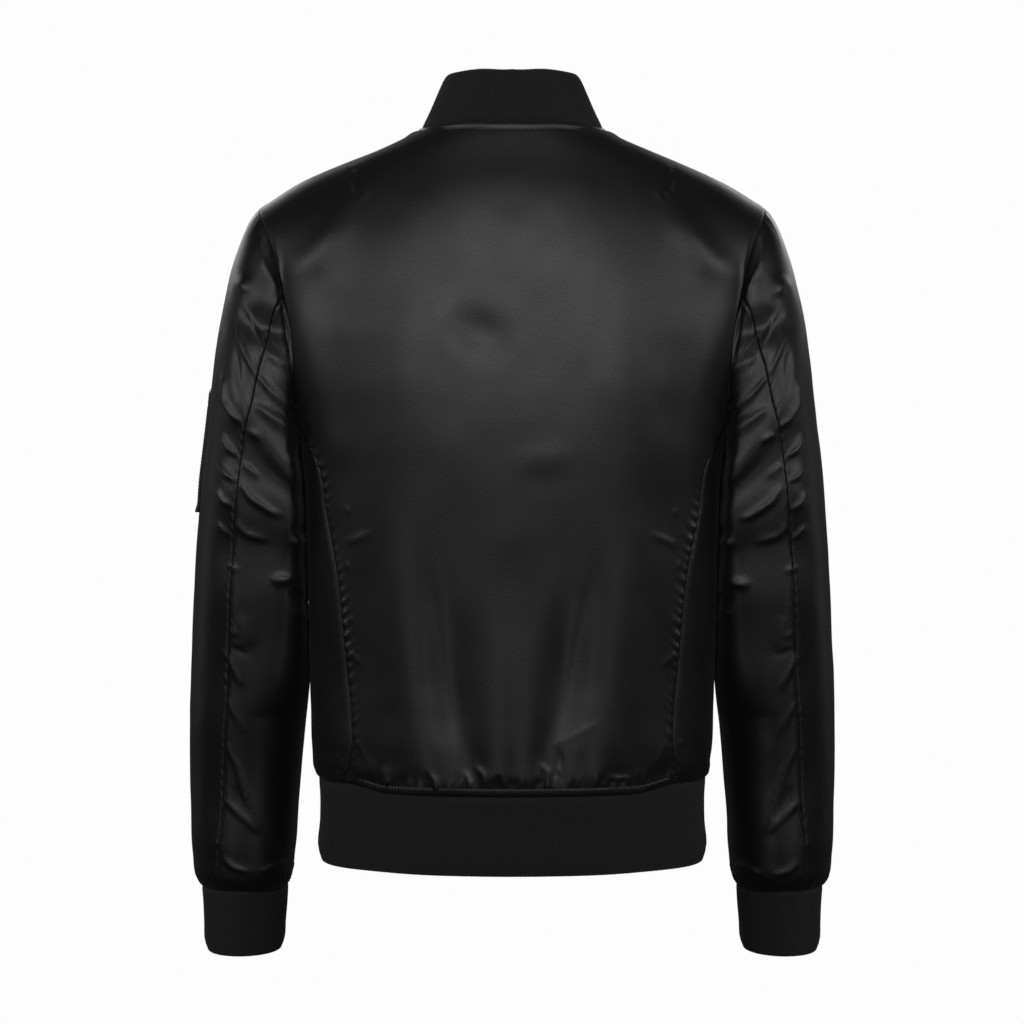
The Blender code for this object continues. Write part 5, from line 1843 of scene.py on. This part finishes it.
# ================================================================ front zip
@dataclass
class FrontZip:
    """The closed front zip: woven tapes behind the front edges, and the chain's teeth."""

    torso: TorsoForm
    finishes: Finishes
    tape_inner: float = 0.0006
    tape_outer: float = 0.0150
    tape_wall: float = 0.0007
    behind_satin: float = 0.0025
    behind_rib: float = 0.0035
    tape_foot: float = -0.6280
    chain_thick: float = 0.0025
    first_tooth: float = 0.0150
    last_tooth: float = -0.6180
    tooth_pitch: float = 0.0020
    tooth_half_tall: float = 0.0006
    tooth_reach: float = 0.0031
    tooth_overlap: float = 0.0007
    tooth_sunk: float = 0.0006
    tooth_proud: float = 0.0005
    tooth_face: float = 0.7

    def line(self, count: int = 240) -> tuple[Grid, Grid]:
        """The zip's line down the front edge, on the face of the tapes.

        Returns:
            Points, and the outward direction at each.
        """
        rows = np.linspace(0, LAST_ROW, count)
        edge = self.torso.half_panel(Face.FRONT, rows, np.zeros(1))[:, 0]
        below = np.linspace(HEM[0].height - 0.002, self.tape_foot, count // 8)
        x, y, _ = edge[-1]
        foot = np.stack([0 * below + x, y * through(HEM, below)[1], below], axis=1)
        line = np.concatenate([edge, foot])
        out = unit(np.cross(np.gradient(line, axis=0) * [0, 1, 1], [1.0, 0.0, 0.0]))
        share = eased((ROW_HEIGHTS[-2] - line[:, 2]) / (ROW_HEIGHTS[-2] - ROW_HEIGHTS[-1]))
        behind = self.behind_satin + (self.behind_rib - self.behind_satin) * share
        return line - out * behind[:, None], out

    def tapes(self) -> None:
        """Both tapes, each a plain strip sewn along its outer edge."""
        line, _ = self.line()
        across = np.linspace(self.tape_inner, self.tape_outer, 8)
        grid = line[:, None] * [0, 1, 1] + across[:, None] * [1.0, 0.0, 0.0]
        length = float(run_along(line)[-1])
        for side in Side:
            strip = grid if side is Side.LEFT else mirrored(grid)
            piece = grid_object(side.of("zip_tape") + "_woven", strip, self.finishes.tape)
            wall = piece.modifiers.new("tape thickness", "SOLIDIFY")
            wall.thickness, wall.offset = self.tape_wall, -1.0
            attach(piece, JACKET)
            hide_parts(side.of("zip_tape"))
            side.of("front")
            log.info("%s, %.3f m long", piece.name, length)

    def teeth(self) -> None:
        """The teeth of the chain, a row from each side that meet and cross in the middle.

        Each tooth is a block of three rectangles: two of its full size, one sunk in the
        chain and one above its face, and a smaller one that rounds its top.
        """
        line, out = self.line()
        run = run_along(line)
        last = np.interp(-self.last_tooth, -line[:, 2], run)
        place = np.arange(self.first_tooth, last, self.tooth_pitch / 2)
        middle = interpolated(place, run, line) * [0, 1, 1]
        normal = unit(interpolated(place, run, out))
        down = unit(np.cross([1.0, 0.0, 0.0], normal))
        own = np.where(np.arange(len(place)) % 2, 1.0, -1.0)[:, None]
        across, tall = np.array([[-1, 1, 1, -1], [-1, -1, 1, 1]], float)
        reach = (self.tooth_reach + self.tooth_overlap) / 2
        sizes = 1.0, 1.0, self.tooth_face
        levels = -self.tooth_sunk, self.tooth_proud * 0.5, self.tooth_proud
        rings = []
        for size, level in zip(sizes, levels):
            x = own * (self.tooth_reach - self.tooth_overlap) / 2
            x = x + across * reach * (0.5 + 0.5 * size)
            z = (tall * self.tooth_half_tall * size)[:, None]
            ring = (middle + normal * (self.chain_thick + level))[:, None] + down[:, None] * z
            rings.append(ring + x[..., None] * [1.0, 0.0, 0.0])
        points = np.stack(rings, axis=1)
        number, walls = rods(points)
        faces = np.concatenate([walls[:, [0, 3, 2, 1]], number[:, -1, ::-1], number[:, 0]])
        piece = mesh_object("zip_teeth", points.reshape(-1, 3), faces, None, self.finishes.metal)
        piece.data.shade_flat()
        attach(piece, JACKET)
        log.info("%s: %d teeth", piece.name, len(place))

    def build(self) -> None:
        """Tapes, teeth, and the metal of the chain, the box, the slider and its tab."""
        self.tapes()
        self.teeth()
        for name in ("zip_chain", "zip_retainer_box", "zip_slider", "zip_pull_tab"):
            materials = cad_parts[name].data.materials
            materials.clear()
            materials.append(self.finishes.metal)


# ================================================================ studio
@dataclass(frozen=True)
class Softbox:
    """A rectangular light: where it stands, its size, its strength, and what it points at."""

    name: str
    place: tuple[float, float, float]
    size: tuple[float, float]
    watts: float
    aim: tuple[float, float, float] = (0.0, 0.0, -0.30)

    def pair(self) -> tuple["Softbox", "Softbox"]:
        """This light and its mirror image, with the side's name in place of the star."""
        x, y, z = self.place
        names = (self.name.replace("*", side.name.lower()) for side in Side)
        places = ((side.value * x, y, z) for side in Side)
        return tuple(replace(self, name=name, place=place) for name, place in zip(names, places))

    def build(self) -> None:
        """Adds the light, turned so that it faces its aim."""
        lamp = bpy.data.lights.new(self.name, "AREA")
        lamp.shape, lamp.size, lamp.size_y, lamp.energy = "RECTANGLE", *self.size, self.watts
        stand = bpy.data.objects.new(self.name, lamp)
        bpy.context.scene.collection.objects.link(stand)
        stand.location = self.place
        x, y, z = np.array(self.aim) - np.array(self.place)
        stand.rotation_euler = (math.atan2(math.hypot(x, y), -z), 0.0, math.atan2(-x, y))


@dataclass(frozen=True)
class Studio:
    """White room: a pale floor far below, soft lights and the camera behind the jacket."""

    view_width: float = 0.901
    distance: float = 2.0
    aim_x: float = 0.00026
    aim_z: float = -0.333
    sensor: float = 36.0
    floor_height: float = -1.30
    floor_half: float = 2.2
    room_white: str = "#fdfdfd"
    room_fill: float = 0.01
    floor_grey: str = "#f4f4f4"
    lights: tuple[Softbox, ...] = (
        Softbox("key softbox", (0.0, 2.60, 1.17), (1.4, 0.9), 10.5),
        Softbox("wide softbox", (0.0, 2.85, 0.45), (3.3, 0.9), 16.0),
        *Softbox("* softbox", (1.92, 1.92, 0.94), (1.0, 1.3), 8.4).pair(),
        *Softbox("* edge softbox", (2.69, 1.09, 0.45), (1.0, 0.9), 9.5).pair(),
        *Softbox("low * softbox", (0.85, 2.09, -1.15), (0.8, 0.6), 1.8).pair(),
        *Softbox("* rim softbox", (2.30, -1.10, -0.10), (0.9, 1.6), 1.2).pair(),
        Softbox("ceiling softbox", (0.0, 0.4, 2.40), (1.6, 1.2), 3.0),
        *Softbox("front * softbox", (1.25, -2.30, 0.80), (1.2, 0.9), 9.0).pair(),
    )

    def build(self) -> None:
        """Sets up the camera, the room, the floor and the lights."""
        scene = bpy.context.scene
        scene.view_settings.view_transform = "Standard"
        lens = bpy.data.cameras.new("camera")
        lens.sensor_width, lens.lens = self.sensor, self.sensor * self.distance / self.view_width
        camera = bpy.data.objects.new("camera", lens)
        scene.collection.objects.link(camera)
        camera.location = (self.aim_x, self.distance, self.aim_z)
        camera.rotation_euler = (math.pi / 2, 0.0, math.pi)
        scene.camera = camera
        self.room(scene)
        self.floor()
        for light in self.lights:
            light.build()

    def room(self, scene: bpy.types.Scene) -> None:
        """White to the camera, and a dim even fill on the jacket."""
        scene.world = bpy.data.worlds.new("studio room")
        scene.world.use_nodes = True
        tree = scene.world.node_tree
        tree.nodes.clear()
        seen = add_node(tree, "ShaderNodeLightPath").outputs["Is Camera Ray"]
        lit = {"Color": linear(self.room_white), "Strength": 1.0}
        white = add_node(tree, "ShaderNodeBackground", lit)
        dim = {"Color": linear("#ffffff"), "Strength": self.room_fill}
        fill = add_node(tree, "ShaderNodeBackground", dim)
        mixed = {0: seen, 1: fill.outputs[0], 2: white.outputs[0]}
        both = add_node(tree, "ShaderNodeMixShader", mixed)
        add_node(tree, "ShaderNodeOutputWorld", {"Surface": both.outputs[0]})

    def floor(self) -> None:
        """A pale floor of matt paint."""
        material, tree = blank_material("pale matt floor paint")
        paint = {"Base Color": linear(self.floor_grey), "Roughness": 0.9}
        shader = add_node(tree, "ShaderNodeBsdfPrincipled", paint)
        add_node(tree, "ShaderNodeOutputMaterial", {"Surface": shader.outputs[0]})
        x, y = np.array([[-1, 1, 1, -1], [-1, -1, 1, 1]]) * self.floor_half
        corners = np.stack([x, y, np.full(4, self.floor_height)], axis=1)
        floor = mesh_object("floor", corners, np.array([[0, 1, 2, 3]]), None, material)
        floor.visible_diffuse = floor.visible_glossy = False


def main() -> None:
    """Builds the jacket and its studio."""
    logging.basicConfig(level=logging.INFO, format="%(name)s: %(message)s")
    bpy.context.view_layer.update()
    finishes = Finishes.made()
    Studio().build()
    form, sleeve_form = TorsoForm(), SleeveForm()
    torso = Torso(form, finishes)
    torso.back()
    for side in Side:
        torso.front(side)
        torso.side_panel(side)
        Sleeve(side, sleeve_form, finishes).build()
    SleevePocket(sleeve_form, finishes).build()
    bands = RibBands(form, finishes)
    bands.hem()
    bands.collar()
    for side in Side:
        bands.cuff(side)
    FrontZip(form, finishes).build()


if __name__ == "__main__":
    main()
